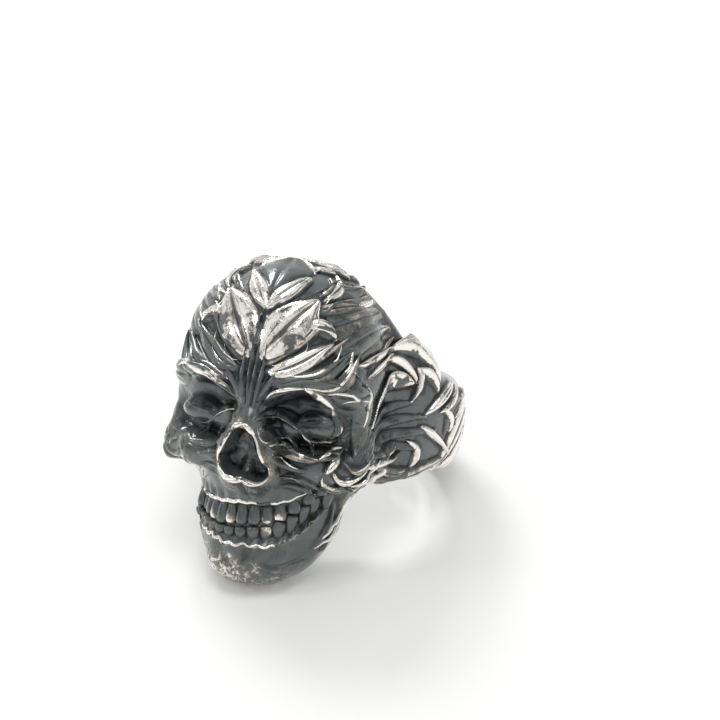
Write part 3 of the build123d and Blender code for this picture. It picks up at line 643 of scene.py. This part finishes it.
# materials
class Graph:
    """a short way of writing the nodes of a tree"""

    def __init__(self, tree):
        self.tree = tree
        self.tree.nodes.clear()

    def node(self, kind, settings=None, **inputs):
        made = self.tree.nodes.new(kind)
        for key, value in (settings or {}).items():
            setattr(made, key, value)
        for key, value in inputs.items():
            by_place = key[0] == "i" and key[1:].isdigit()
            socket = made.inputs[int(key[1:]) if by_place else key.replace("_", " ")]
            if isinstance(value, bpy.types.NodeSocket):
                self.tree.links.new(value, socket)
            else:
                socket.default_value = value
        return made

    def math(self, operation, a, b=0.0, clamp=False):
        settings = {"operation": operation, "use_clamp": clamp}
        return self.node("ShaderNodeMath", settings, i0=a, i1=b).outputs[0]

    def swing(self, pattern, middle, amount, clamp=False):
        """how far a pattern is from its middle, times an amount"""
        return self.math("MULTIPLY", self.math("SUBTRACT", pattern, middle), amount, clamp)

    def noise(self, at, scale, detail=3.0, rough=0.55, warp=0.0):
        return self.node("ShaderNodeTexNoise", None, Vector=at, Scale=scale, Detail=detail,
                         Roughness=rough, Distortion=warp).outputs["Fac"]

    def ramp(self, fac, stops):
        made = self.node("ShaderNodeValToRGB", None, Fac=fac)
        ramp = made.color_ramp
        while len(ramp.elements) < len(stops):
            ramp.elements.new(0.5)
        for element, (at, colour) in zip(ramp.elements, stops):
            element.position = at
            element.color = (*colour, 1)
        return made.outputs["Color"]


def grey(v):
    return (v, v, v)


def material_graph(name):
    material = bpy.data.materials.new(name)
    material.use_nodes = True
    return material, Graph(material.node_tree)


def oxidised_silver(name):
    """slate oxide with warm silver where the casting is rubbed, and painted shade in its creases
    and hollows, by its own attributes
    """
    material, g = material_graph(name)
    at = g.node("ShaderNodeTexCoord").outputs["Object"]
    shine, high, stain = (g.node("ShaderNodeAttribute", {"attribute_name": label}).outputs["Fac"]
                          for label in ("polish", "high", "stain"))
    blotch = g.noise(at, 900, 4.0, 0.62)
    grain = g.noise(at, 3800, 3.0, 0.6)
    broad = g.noise(at, 260, 2.0, 0.5)
    spots = g.noise(at, 520, 3.0, 0.6)
    scratch = g.noise(at, 1100, 5.0, 0.7, 2.0)
    # dark patches on the rubbed leaves, most of all in their hollows: partly tarnish left there,
    # partly painted dark reflections in the silver
    tarnish_and_painted_reflection = g.math("MULTIPLY", g.swing(spots, 0.51, 9.0, True), g.math("SUBTRACT", 1.1, high))
    kept = g.math("SUBTRACT", 1.0, tarnish_and_painted_reflection, True)
    ragged = g.math("ADD", g.swing(blotch, 0.5, 0.62), g.swing(grain, 0.5, 0.20))
    scratched = g.math("ADD", 0.08, g.swing(scratch, 0.46, 2.6))
    # rubbed bright where the casting stands high, as real wear, and darkened where it lies low, in
    # creases and hollows, as painted shade
    rub = g.math("ADD", g.math("MULTIPLY", shine, kept), g.math("MULTIPLY", high, 0.50))
    rub = g.math("ADD", g.math("ADD", rub, 0.20), ragged)
    rub = g.math("ADD", rub, g.math("MULTIPLY", stain, scratched))
    # the near-black low end is reached mostly by painted shade in deep creases and hollows, and in
    # places by stains
    colour = g.ramp(rub, [
        (0.0, (0.014, 0.017, 0.019)), (0.14, (0.092, 0.107, 0.108)),
        (0.42, (0.115, 0.130, 0.125)), (0.54, (0.25, 0.215, 0.175)),
        (0.66, (0.70, 0.66, 0.59)), (1.0, (0.93, 0.90, 0.85))])
    rough = g.ramp(rub, [
        (0.0, grey(0.35)), (0.2, grey(0.24)), (0.42, grey(0.26)), (0.54, grey(0.40)),
        (0.7, grey(0.15)), (1.0, grey(0.07))])
    rough = g.math("ADD", rough, g.swing(broad, 0.5, 0.16))
    fine_bump = g.node("ShaderNodeBump", None, Strength=0.5, Distance=0.00004, Height=grain)
    bump = g.node("ShaderNodeBump", None, Strength=0.6, Distance=0.00012, Height=blotch,
                  Normal=fine_bump.outputs[0])
    # the oxide is a dull skin and only rubbed silver is bare metal
    metal = g.ramp(rub, [(0.0, grey(0.40)), (0.44, grey(0.50)), (0.66, grey(1.0))])
    shader = g.node("ShaderNodeBsdfPrincipled", None, Base_Color=colour, Roughness=rough,
                    Metallic=metal, Coat_Weight=0.7, Coat_Roughness=0.06, Normal=bump.outputs[0])
    g.node("ShaderNodeOutputMaterial", None, Surface=shader.outputs[0])
    return material


def studio_floor():
    material, g = material_graph("white_gloss_board")
    at = g.node("ShaderNodeTexCoord").outputs["Object"]
    cloud = g.noise(at, 25, 2.0)
    rough = g.math("ADD", g.math("MULTIPLY", cloud, 0.04), 0.16)
    shader = g.node("ShaderNodeBsdfPrincipled", None, Base_Color=(0.93, 0.93, 0.915, 1),
                    Roughness=rough, Emission_Color=(1.0, 1.0, 0.98, 1), Emission_Strength=0.14)
    g.node("ShaderNodeOutputMaterial", None, Surface=shader.outputs[0])
    return material


# what Geometry Nodes make
def shape_tree(name, inputs):
    """an empty Geometry Nodes tree with named inputs, its graph and its input sockets by name"""
    tree = bpy.data.node_groups.new(name, "GeometryNodeTree")
    graph = Graph(tree)
    tree.interface.new_socket("Geometry", in_out="OUTPUT", socket_type="NodeSocketGeometry")
    tree.interface.new_socket("Geometry", in_out="INPUT", socket_type="NodeSocketGeometry")
    for label, kind in inputs:
        tree.interface.new_socket(label, in_out="INPUT", socket_type="NodeSocket" + kind)
    return tree, graph, graph.node("NodeGroupInput").outputs


def finish_tree(graph, geometry, silver):
    """realize, smooth and coat whatever the tree has made"""
    real = graph.node("GeometryNodeRealizeInstances", None, Geometry=geometry).outputs[0]
    smooth = graph.node("GeometryNodeSetShadeSmooth", None, Geometry=real).outputs[0]
    coated = graph.node("GeometryNodeSetMaterial", None, Geometry=smooth,
                        Material=silver).outputs[0]
    graph.node("NodeGroupOutput", None, Geometry=coated)


def named(graph, name, kind="FLOAT"):
    settings = {"data_type": kind}
    return graph.node("GeometryNodeInputNamedAttribute", settings, Name=name).outputs[0]


def strand_tree():
    """thin raised strands that lie on the casting along given paths and taper at both ends"""
    tree, g, given = shape_tree("strand_on_casting", [
        ("Face casting", "Object"), ("Crown casting", "Object"), ("Band casting", "Object"),
        ("Spacing", "Float"), ("Sides", "Int"), ("Ripple", "Float"), ("Seed", "Int"),
        ("Silver", "Material")])
    curve = g.node("GeometryNodeMeshToCurve", None, Mesh=given["Geometry"]).outputs[0]
    curve = g.node("GeometryNodeCurveSplineType", {"spline_type": "CATMULL_ROM"},
                   Curve=curve).outputs[0]
    curve = g.node("GeometryNodeResampleCurve", {"mode": "LENGTH"}, Curve=curve,
                   Length=given["Spacing"]).outputs[0]
    join = g.node("GeometryNodeJoinGeometry")
    for label in ("Face casting", "Crown casting", "Band casting"):
        wall = g.node("GeometryNodeObjectInfo", {"transform_space": "RELATIVE"},
                      Object=given[label]).outputs["Geometry"]
        g.tree.links.new(wall, join.inputs[0])
    nearest = g.node("GeometryNodeProximity", {"target_element": "FACES"},
                     i0=join.outputs[0]).outputs[0]
    curve = g.node("GeometryNodeSetPosition", None, Geometry=curve, Position=nearest).outputs[0]
    place_now = g.node("GeometryNodeInputPosition").outputs[0]
    eased = g.node("GeometryNodeBlurAttribute", {"data_type": "FLOAT_VECTOR"}, Value=place_now,
                   Iterations=3).outputs[0]
    curve = g.node("GeometryNodeSetPosition", None, Geometry=curve, Position=eased).outputs[0]
    along = g.node("GeometryNodeSplineParameter").outputs["Factor"]
    taper = g.math("POWER", g.math("SINE", g.math("MULTIPLY", along, math.pi), clamp=True), 0.5)
    shake = g.node("FunctionNodeRandomValue", {"data_type": "FLOAT"}, i2=1.0, i3=given["Ripple"],
                   Seed=given["Seed"]).outputs[1]
    shake = g.node("GeometryNodeBlurAttribute", {"data_type": "FLOAT"}, Value=shake,
                   Iterations=2).outputs[0]
    width = g.math("MULTIPLY", g.math("MULTIPLY", taper, named(g, "half_width")), shake)
    width = g.math("MAXIMUM", width, 0.01*MM)
    profile = g.node("GeometryNodeCurvePrimitiveCircle", None, Resolution=given["Sides"],
                     Radius=1.0).outputs[0]
    mesh = g.node("GeometryNodeCurveToMesh", None, Curve=curve, Profile_Curve=profile, Scale=width,
                  Fill_Caps=True).outputs[0]
    finish_tree(g, mesh, given["Silver"])
    return tree


def tooth_tree():
    """one tooth on each given point, turned outwards and a little uneven"""
    tree, g, given = shape_tree("row_of_teeth", [
        ("Tooth", "Object"), ("Width", "Float"), ("Depth", "Float"), ("Unevenness", "Float"),
        ("Seed", "Int"), ("Silver", "Material")])
    tooth = g.node("GeometryNodeObjectInfo", {"transform_space": "ORIGINAL"},
                   Object=given["Tooth"]).outputs["Geometry"]
    upright, outward = named(g, "upright", "FLOAT_VECTOR"), named(g, "outward", "FLOAT_VECTOR")
    turned = g.node("FunctionNodeAxesToRotation", {"primary_axis": "Z", "secondary_axis": "Y"},
                    i0=upright, i1=outward).outputs[0]
    least = g.math("SUBTRACT", 1.0, given["Unevenness"])
    most = g.math("ADD", 1.0, given["Unevenness"])
    uneven = g.node("FunctionNodeRandomValue", {"data_type": "FLOAT"}, i2=least, i3=most,
                    Seed=given["Seed"]).outputs[1]
    size = g.node("ShaderNodeCombineXYZ", None, X=g.math("MULTIPLY", given["Width"], uneven),
                  Y=given["Depth"], Z=g.math("MULTIPLY", named(g, "tall"), uneven)).outputs[0]
    placed = g.node("GeometryNodeInstanceOnPoints", None, Points=given["Geometry"], Instance=tooth,
                    Rotation=turned, Scale=size).outputs[0]
    real = g.node("GeometryNodeRealizeInstances", None, Geometry=placed).outputs[0]
    rub = g.math("MULTIPLY", named(g, "edge"), named(g, "rubbed"))
    rubbed = g.node("GeometryNodeStoreNamedAttribute", {"data_type": "FLOAT", "domain": "POINT"},
                    Geometry=real, Name="polish", Value=rub).outputs[0]
    finish_tree(g, rubbed, given["Silver"])
    return tree


def shaped_by(tree, name, mesh, values):
    """the plain mesh that the tree makes of the given one, as a new object"""
    holder = bpy.data.objects.new(name + "_paths", mesh)
    bpy.context.scene.collection.objects.link(holder)
    modifier = holder.modifiers.new(name, "NODES")
    modifier.node_group = tree
    keys = {item.name: item.identifier for item in tree.interface.items_tree
            if item.in_out == "INPUT"}
    for label, value in values.items():
        modifier[keys[label]] = value
    bpy.context.view_layer.update()
    finished = holder.evaluated_get(bpy.context.evaluated_depsgraph_get())
    made = bpy.data.meshes.new_from_object(finished)
    holder.modifiers.remove(modifier)
    bpy.data.objects.remove(holder)
    made.name = name
    outward = bmesh.new()
    outward.from_mesh(made)
    bmesh.ops.recalc_face_normals(outward, faces=outward.faces)
    outward.to_mesh(made)
    outward.free()
    piece = bpy.data.objects.new(name, made)
    bpy.context.scene.collection.objects.link(piece)
    return piece


# How far out the rays start that lay strands and teeth on the casting, and how far they reach
cranium_start, cranium_reach = 15, 14.0
ring_start, ring_reach = 25, 15.0
jaw_start, jaw_reach = 9, 8.0
march_steps = 60


def marched(origins, directions, reach):
    """where rays from outside meet the bare casting, in millimetres with the finger upright"""
    travel = np.zeros(len(origins))
    for _ in range(march_steps):
        p = origins + directions*travel[:, None]
        gap = casting(p[:, 0], p[:, 1], p[:, 2])
        travel = np.minimum(travel + 0.8*gap, reach)
    return origins + directions*travel[:, None]


def bent(a, b, c, count):
    """points along the arc of a stroke that passes through all three"""
    t = np.linspace(0, 1, count)[:, None]
    a, b, c = (np.array(v, float) for v in (a, b, c))
    control = 2*b - 0.5*(a + c)
    return (1 - t)**2*a + 2*t*(1 - t)*control + t*t*c


def on_cranium(flat):
    """points of the casting under the cranium's flat coordinates"""
    away = np.hypot(flat[:, 0], flat[:, 1]) + 1e-9
    side, up = flat[:, 0]/away, flat[:, 1]/away
    ray = (np.cos(away)[:, None]*leaf_forward
           + np.sin(away)[:, None]*(side[:, None]*np.array([1.0, 0, 0]) + up[:, None]*leaf_up))
    across, ahead, level = place(0, cranium_forward, cranium_share)
    start = np.array([across, -ahead, level]) + cranium_start*ray
    return marched(start, -ray, cranium_reach) + above_leaves*ray


def on_ring(flat):
    """points of the casting at turns in degrees and levels in millimetres"""
    phi = np.radians(flat[:, 0])
    out = np.stack([np.sin(phi), -np.cos(phi), np.zeros(len(phi))], -1)
    start = out*ring_start + np.stack([0*phi, 0*phi, flat[:, 1]], -1)
    return marched(start, -out, ring_reach) + above_leaves*out


def on_jaw(turns, levels, outside=0.0):
    """points of the dental arch, and which way they face"""
    out = np.stack([np.sin(turns), -np.cos(turns), np.zeros(len(turns))], -1)
    start = out*jaw_start + np.stack([0*turns, 0*turns - arch_centre, levels], -1)
    return marched(start, -out, jaw_reach) + outside*out, out


# Strands on the head's flat coordinates: start, bend and end, half width in millimetres, polish
# on the near side and on the far side
head_strands = [
    (0.16, -0.90, 0.28, -0.785, 0.52, -0.715, 0.22, 1.0, 0.5),
    (0.50, -0.71, 0.81, -0.585, 0.93, -0.23, 0.18, 0.9, 0.3),
    (0.77, -0.55, 0.87, -0.38, 0.88, -0.20, 0.24, 1.0, 0.1),
    (0.32, -0.65, 0.56, -0.58, 0.69, -0.41, 0.15, 1.0, 0.2),
    (0.69, -0.41, 0.75, -0.30, 0.74, -0.21, 0.12, 0.9, 0.1),
    (0.05, -0.33, 0.13, -0.14, 0.44, 0.09, 0.09, 1.0, 1.0),
    (0.44, 0.09, 0.44, -0.26, 0.14, -0.55, 0.09, 1.0, 1.0),
    (0.14, -0.60, 0.33, -0.52, 0.47, -0.32, 0.07, 0.8, 1.0),
    (0.43, -0.21, 0.53, -0.13, 0.68, -0.20, 0.13, 1.0, 0.3),
    (0.46, 0.62, 0.57, 0.35, 0.47, 0.09, 0.13, 0.9, 0.3),
    (0.00, 0.64, 0.14, 0.65, 0.31, 0.45, 0.22, 1.0, 1.0),
    (0.02, 0.00, 0.16, 0.22, 0.27, 0.45, 0.05, 0.8, 0.8),
    (0.17, 0.67, 0.34, 0.73, 0.55, 0.77, 0.14, 1.0, 0.5),
    (0.27, 0.47, 0.39, 0.68, 0.54, 0.75, 0.12, 1.0, 0.5),
    (0.71, 0.23, 0.61, 0.22, 0.51, -0.04, 0.20, 0.1, 1.0),
    (0.69, -0.16, 0.57, -0.14, 0.47, -0.18, 0.22, 0.1, 1.0),
    (0.51, 0.21, 0.57, 0.43, 0.64, 0.74, 0.14, 0.1, 1.0),
    (0.55, 0.60, 0.39, 0.23, 0.24, 0.06, 0.12, 0.1, 0.9),
    (0.99, -0.57, 0.55, -0.64, 0.20, -0.78, 0.20, 0.1, 1.0),
    (0.84, 0.10, 0.70, -0.18, 0.50, -0.38, 0.06, 0.1, 0.8),
    (0.46, -0.48, 0.36, -0.58, 0.24, -0.63, 0.07, 0.2, 1.0),
    (0.54, -0.60, 0.29, -0.69, 0.20, -0.80, 0.08, 0.2, 1.0),
    (0.56, 0.45, 0.70, 0.65, 1.00, 0.69, 0.08, 0.8, 0.3),
    (0.81, 0.33, 0.88, 0.52, 0.95, 0.61, 0.18, 1.0, 0.3),
    (1.00, -0.29, 1.18, -0.08, 1.35, 0.24, 0.12, 1.0, 0.5),
    (1.17, -0.37, 1.30, -0.20, 1.43, 0.07, 0.12, 1.0, 0.5),
    (0.86, -0.43, 1.10, -0.40, 1.30, -0.54, 0.10, 1.0, 0.6),
    (0.89, -0.77, 1.02, -0.65, 1.31, -0.56, 0.10, 1.0, 0.6),
    (0.50, 0.02, 0.75, 0.15, 1.02, 0.56, 0.05, 0.3, 0.3),
    (0.56, -0.16, 0.84, -0.01, 1.12, 0.44, 0.05, 0.2, 0.2),
    (0.12, -0.66, 0.30, -0.50, 0.50, -0.30, 0.04, 0.3, 0.6),
]

# Strands round the nose: turn in degrees and level in millimetres for start, bend and end, half
# width on the near side and on the far side, polish
nose_strands = [
    (0.2, 2.45, 3.9, 1.1, 6.7, -1.7, 0.17, 0.24, 1.0),
    (-0.6, 2.45, 1.2, 2.40, 3.0, 1.5, 0.32, 0.34, 1.0),
    (-0.8, -2.45, 2.8, -2.85, 6.9, -1.6, 0.15, 0.26, 1.0),
    (0.4, -2.3, 3.2, -2.60, 5.6, -2.3, 0.05, 0.36, 0.9),
]

# Strands by turn in degrees and level in millimetres, half width, polish as above
ring_strands = [
    (6.2, 0.85, 12.0, -0.08, 18.0, -0.15, 0.36, 1.0, 0.2),
    (17.6, -0.18, 20.4, 0.17, 24.6, 0.57, 0.30, 1.0, 0.2),
    (6.9, 0.2, 9.6, -0.6, 13.6, -1.0, 0.13, 0.9, 0.2),
    (12.4, 1.7, 14.6, 1.0, 16.4, 0.1, 0.14, 1.0, 0.2),
    (8.7, 1.4, 10.4, 0.9, 12.0, 0.2, 0.05, 0.8, 0.1),
    (3.6, 2.5, 4.9, 1.2, 9.6, 1.35, 0.09, 0.5, 0.4),
    (3.0, 2.9, 7.0, 2.9, 12.0, 1.7, 0.11, 0.35, 0.5),
    (12.6, 5.9, 17.3, 4.5, 21.0, 3.7, 0.42, 1.0, 0.1),
    (20.1, 3.8, 22.6, 2.4, 20.0, 1.5, 0.50, 1.0, 0.1),
    (18.2, 5.0, 24.0, 5.3, 30.0, 4.0, 0.20, 1.0, 0.3),
    (29.6, 2.2, 31.2, 4.4, 29.4, 6.4, 0.20, 1.0, 0.3),
    (8.0, -2.5, 11.0, -2.0, 16.0, -3.2, 0.06, 0.3, 0.2),
    (16.0, -3.2, 20.0, -4.0, 25.0, -3.9, 0.06, 0.6, 0.3),
    (19.0, -1.6, 20.6, -3.2, 26.0, -3.6, 0.19, 1.0, 0.2),
    (25.5, -3.6, 29.6, -2.2, 37.5, -0.5, 0.19, 1.0, 0.3),
    (22.4, -1.2, 24.8, -2.2, 28.4, -1.6, 0.14, 1.0, 0.2),
    (26.6, -1.2, 29.4, -0.9, 32.2, -0.1, 0.12, 1.0, 0.2),
    (31.5, -4.3, 27.0, -6.1, 20.5, -7.8, 0.30, 1.0, 0.8),
    (29.0, -6.2, 25.0, -7.6, 19.0, -8.8, 0.20, 1.0, 0.8),
    (18.0, -8.8, 14.0, -9.6, 7.0, -9.7, 0.08, 0.1, 0.4),
]

# Wavy edges of the gums: upper or lower, first and last turn along the arch in radians, half
# width, polish
gum_strands = [
    (True, -1.10, 0.35, 0.27, 1.0), (True, -0.05, 0.86, 0.17, 1.0),
    (False, -0.95, 0.20, 0.23, 1.0), (False, -0.05, 0.55, 0.16, 0.9),
    (False, 0.50, 1.15, 0.08, 0.4),
]
strand_points, gum_points = 12, 90
least_far_polish = 0.35


def stroke_mesh():
    """the paths of all strands, on both sides, with their half widths and polish"""
    points, edges, widths, rubs = [], [], [], []

    def add(path, half_width, rub):
        first = len(points)
        points.extend(laid_down(path).tolist())
        edges.extend((first + k, first + k + 1) for k in range(len(path) - 1))
        widths.extend([half_width*MM]*len(path))
        rubs.extend([rub]*len(path))

    for rows, on_wall in ((head_strands, on_cranium), (ring_strands, on_ring)):
        for row in rows:
            path = on_wall(bent(row[0:2], row[2:4], row[4:6], strand_points))
            add(path, row[6], row[7])
            if row[8] > least_far_polish:
                add(path*np.array([-1.0, 1.0, 1.0]), row[6]*(0.3 + 0.7*row[8]), row[8])
    for row in nose_strands:
        for side, half_width in ((1, row[6]), (-1, row[7])):
            flat = bent(row[0:2], row[2:4], row[4:6], strand_points)*np.array([side, 1.0])
            flat[:, 1] -= nose_tilt*(face_reach - 1)*np.sin(np.radians(flat[:, 0]))
            add(on_ring(flat), half_width, row[8])
    for upper, first, last, half_width, rub in gum_strands:
        turns = np.linspace(first, last, gum_points)
        gum = mouth(turns)[1] + 0.06 if upper else mouth(turns)[2] - 0.06
        wave = 0.10*np.cos(2*math.pi*turns*jaw_depth/tooth_width) + 0.05*np.sin(11*turns + 1)
        add(on_jaw(turns, gum - wave if upper else gum + wave)[0], half_width, rub)
    mesh = bpy.data.meshes.new("strand_paths")
    mesh.from_pydata(points, edges, [])
    for name, values in (("half_width", widths), ("polish", rubs)):
        mesh.attributes.new(name, "FLOAT", "POINT").data.foreach_set("value", values)
    return mesh


def tooth_object():
    """one tooth of unit size: root up, its biting edge wider, with the edge marked for wear"""
    levels = [-0.5, -0.485, -0.42, -0.28, -0.05, 0.2, 0.4, 0.5]
    halves = [0.18, 0.34, 0.455, 0.50, 0.475, 0.40, 0.30, 0.12]
    around = 12
    points, edge = [], []
    for level, half in zip(levels, halves):
        for k in range(around):
            a = 2*math.pi*(k + 0.5)/around
            c, s = math.cos(a), math.sin(a)
            points.append((half*math.copysign(abs(c)**0.85, c),
                           half*math.copysign(abs(s)**0.9, s), level))
            edge.append(min(1.0, max(0.0, 0.95 - 1.7*(level + 0.42)))*(0.6 + 0.4*c))
    faces = [tuple(range(around))[::-1], tuple(range((len(levels) - 1)*around, len(levels)*around))]
    for i in range(len(levels) - 1):
        for k in range(around):
            a, b = i*around + k, i*around + (k + 1) % around
            faces.append((a, b, b + around, a + around))
    mesh = bpy.data.meshes.new("tooth")
    mesh.from_pydata(points, [], faces)
    mesh.attributes.new("edge", "FLOAT", "POINT").data.foreach_set("value", edge)
    tooth = bpy.data.objects.new("tooth", mesh)
    bpy.context.scene.collection.objects.link(tooth)
    return tooth


def turned_only(direction):
    """a direction leaned back as the ring rests"""
    return (laid_down(np.asarray(direction, float)) - laid_down(np.zeros(3))).tolist()


def tooth_places():
    """where the teeth stand, which way they face, how tall they are and which are rubbed"""
    rubbed_upper = {-5: 0.5, -4: 1.2, -3: 0.3, -2: 1.4, -1: 0.9, 1: 1.3, 2: 1.1}
    rubbed_lower = {1: 1.0, 0: 0.3, -2: 0.3, -4: 0.3}
    half_row, under_gum, between_rows, sunk = 7, 0.12, 0.04, -0.02
    points, outs, ups, talls, rubs = [], [], [], [], []
    for upper in (True, False):
        for k in range(-half_row, half_row):
            turn = np.array([(k + 0.5)*tooth_width/jaw_depth])
            bite_level, upper_level, lower_level = mouth(turn)
            far_level = upper_level + under_gum if upper else lower_level - under_gum
            tall = abs(far_level - bite_level)[0] - between_rows
            middle = 0.5*(bite_level + far_level) + (0.03 if upper else -0.03)
            place_at, out = on_jaw(turn, middle, sunk)
            lean_out = np.array([0, 0, 1.0]) + (-0.10 if upper else 0.14)*out[0]
            points.append(laid_down(place_at)[0].tolist())
            outs.append(turned_only(out[0]))
            ups.append(turned_only(lean_out if upper else -lean_out))
            talls.append(tall*MM)
            rubs.append((rubbed_upper if upper else rubbed_lower).get(k, 0.08))
    mesh = bpy.data.meshes.new("tooth_places")
    mesh.from_pydata(points, [], [])
    for name, values in (("outward", outs), ("upright", ups)):
        flat = [v for one in values for v in one]
        mesh.attributes.new(name, "FLOAT_VECTOR", "POINT").data.foreach_set("vector", flat)
    for name, values in (("tall", talls), ("rubbed", rubs)):
        mesh.attributes.new(name, "FLOAT", "POINT").data.foreach_set("value", values)
    return mesh


# build the casting
head_turn = 58
head_columns, head_rows, crown_row = 401, 476, 238
band_columns, band_rows = 341, 141
head_points, head_shine = sections(-head_turn, head_turn, head_columns, head_rows)
# wear on high places and painted shade in creases and hollows, for the material
head_wear_and_shade = wear_and_shade_of(head_points, 6, 60)
face_piece = casting_piece("face_casting", head_points, 0, crown_row, head_shine, head_wear_and_shade)
crown_piece = casting_piece("crown_casting", head_points, crown_row, head_rows - 1, head_shine,
                            head_wear_and_shade)
band_points, band_shine = sections(head_turn, 360 - head_turn, band_columns, band_rows)
# wear on high places and painted shade in creases and hollows, for the material
band_wear_and_shade = wear_and_shade_of(band_points, 4, 30)
band_piece = casting_piece("band_casting", band_points, 0, band_rows - 1, band_shine, band_wear_and_shade)
silver = oxidised_silver("oxidised_silver")
for piece in (face_piece, crown_piece, band_piece):
    piece.data.materials.append(silver)
strands = shaped_by(strand_tree(), "raised_strands", stroke_mesh(), {
    "Face casting": face_piece, "Crown casting": crown_piece, "Band casting": band_piece,
    "Spacing": 0.14*MM, "Sides": 8, "Ripple": 0.75, "Seed": 4, "Silver": silver})
tooth = tooth_object()
teeth = shaped_by(tooth_tree(), "teeth", tooth_places(), {
    "Tooth": tooth, "Width": 0.97*tooth_width*MM, "Depth": 1.0*MM, "Unevenness": 0.05, "Seed": 7,
    "Silver": silver})
bpy.data.objects.remove(tooth)
for piece in (face_piece, crown_piece, band_piece, strands, teeth):
    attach(piece, "root")
    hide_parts("skull_ring")

# floor, light and camera
bpy.ops.mesh.primitive_plane_add(size=2.0, location=(0, 0, 0))
floor = bpy.context.object
floor.name = "board"
floor.data.materials.append(studio_floor())

ring_middle = Vector((0, 0, 0.01))


def soft_light(name, at, size, power):
    """a square panel that faces the ring's middle"""
    data = bpy.data.lights.new(name, "AREA")
    data.shape, data.size, data.energy = "SQUARE", size, power
    lamp = bpy.data.objects.new(name, data)
    bpy.context.scene.collection.objects.link(lamp)
    lamp.location = at
    lamp.rotation_euler = (ring_middle - Vector(at)).to_track_quat("-Z", "Y").to_euler()


soft_light("window", (-0.22, 0.24, 0.34), 0.14, 0.85)
soft_light("ceiling", (0.06, -0.06, 0.45), 0.16, 0.34)
soft_light("side", (-0.28, -0.16, 0.20), 0.05, 0.12)

world = bpy.data.worlds.new("studio")
bpy.context.scene.world = world
world.use_nodes = True
sky = Graph(world.node_tree)
direction = sky.node("ShaderNodeTexCoord").outputs["Generated"]
panels = sky.node("ShaderNodeTexNoise", None, Vector=direction, Scale=3.1,
                  Detail=1.0).outputs["Fac"]
light = sky.ramp(panels, [(0.38, grey(0.07)), (0.44, grey(0.45)), (0.51, grey(1.0)),
                          (1.0, grey(1.05))])
background = sky.node("ShaderNodeBackground", None, Color=light, Strength=0.85)
sky.node("ShaderNodeOutputWorld", None, Surface=background.outputs[0])

# The camera looks so that the bore's centre lies at bore_across and bore_down in the picture,
# with the focal length and the picture in pixels, and the distance in millimetres
azimuth, elevation, distance, focal = math.radians(18.5), math.radians(26.5), 190.0, 2070.0
picture, sensor, bore_across, bore_down = 720, 36, 323, 412
forward = Vector((-math.sin(azimuth)*math.cos(elevation), math.cos(azimuth)*math.cos(elevation),
                  -math.sin(elevation)))
right = Vector((math.cos(azimuth), math.sin(azimuth), 0))
upward = right.cross(forward)
across, rise = (bore_across - picture/2)/focal, (picture/2 - bore_down)/focal
camera_data = bpy.data.cameras.new("camera")
camera_data.lens, camera_data.sensor_width = focal*sensor/picture, sensor
camera_data.clip_start, camera_data.clip_end = 0.005, 10
camera = bpy.data.objects.new("camera", camera_data)
bpy.context.scene.collection.objects.link(camera)
camera.location = (Vector(bore_centre) - (forward + right*across + upward*rise)*distance)*MM
camera.rotation_euler = Matrix((right, upward, -forward)).transposed().to_euler()
bpy.context.scene.camera = camera
bpy.context.scene.view_settings.view_transform = "Standard"
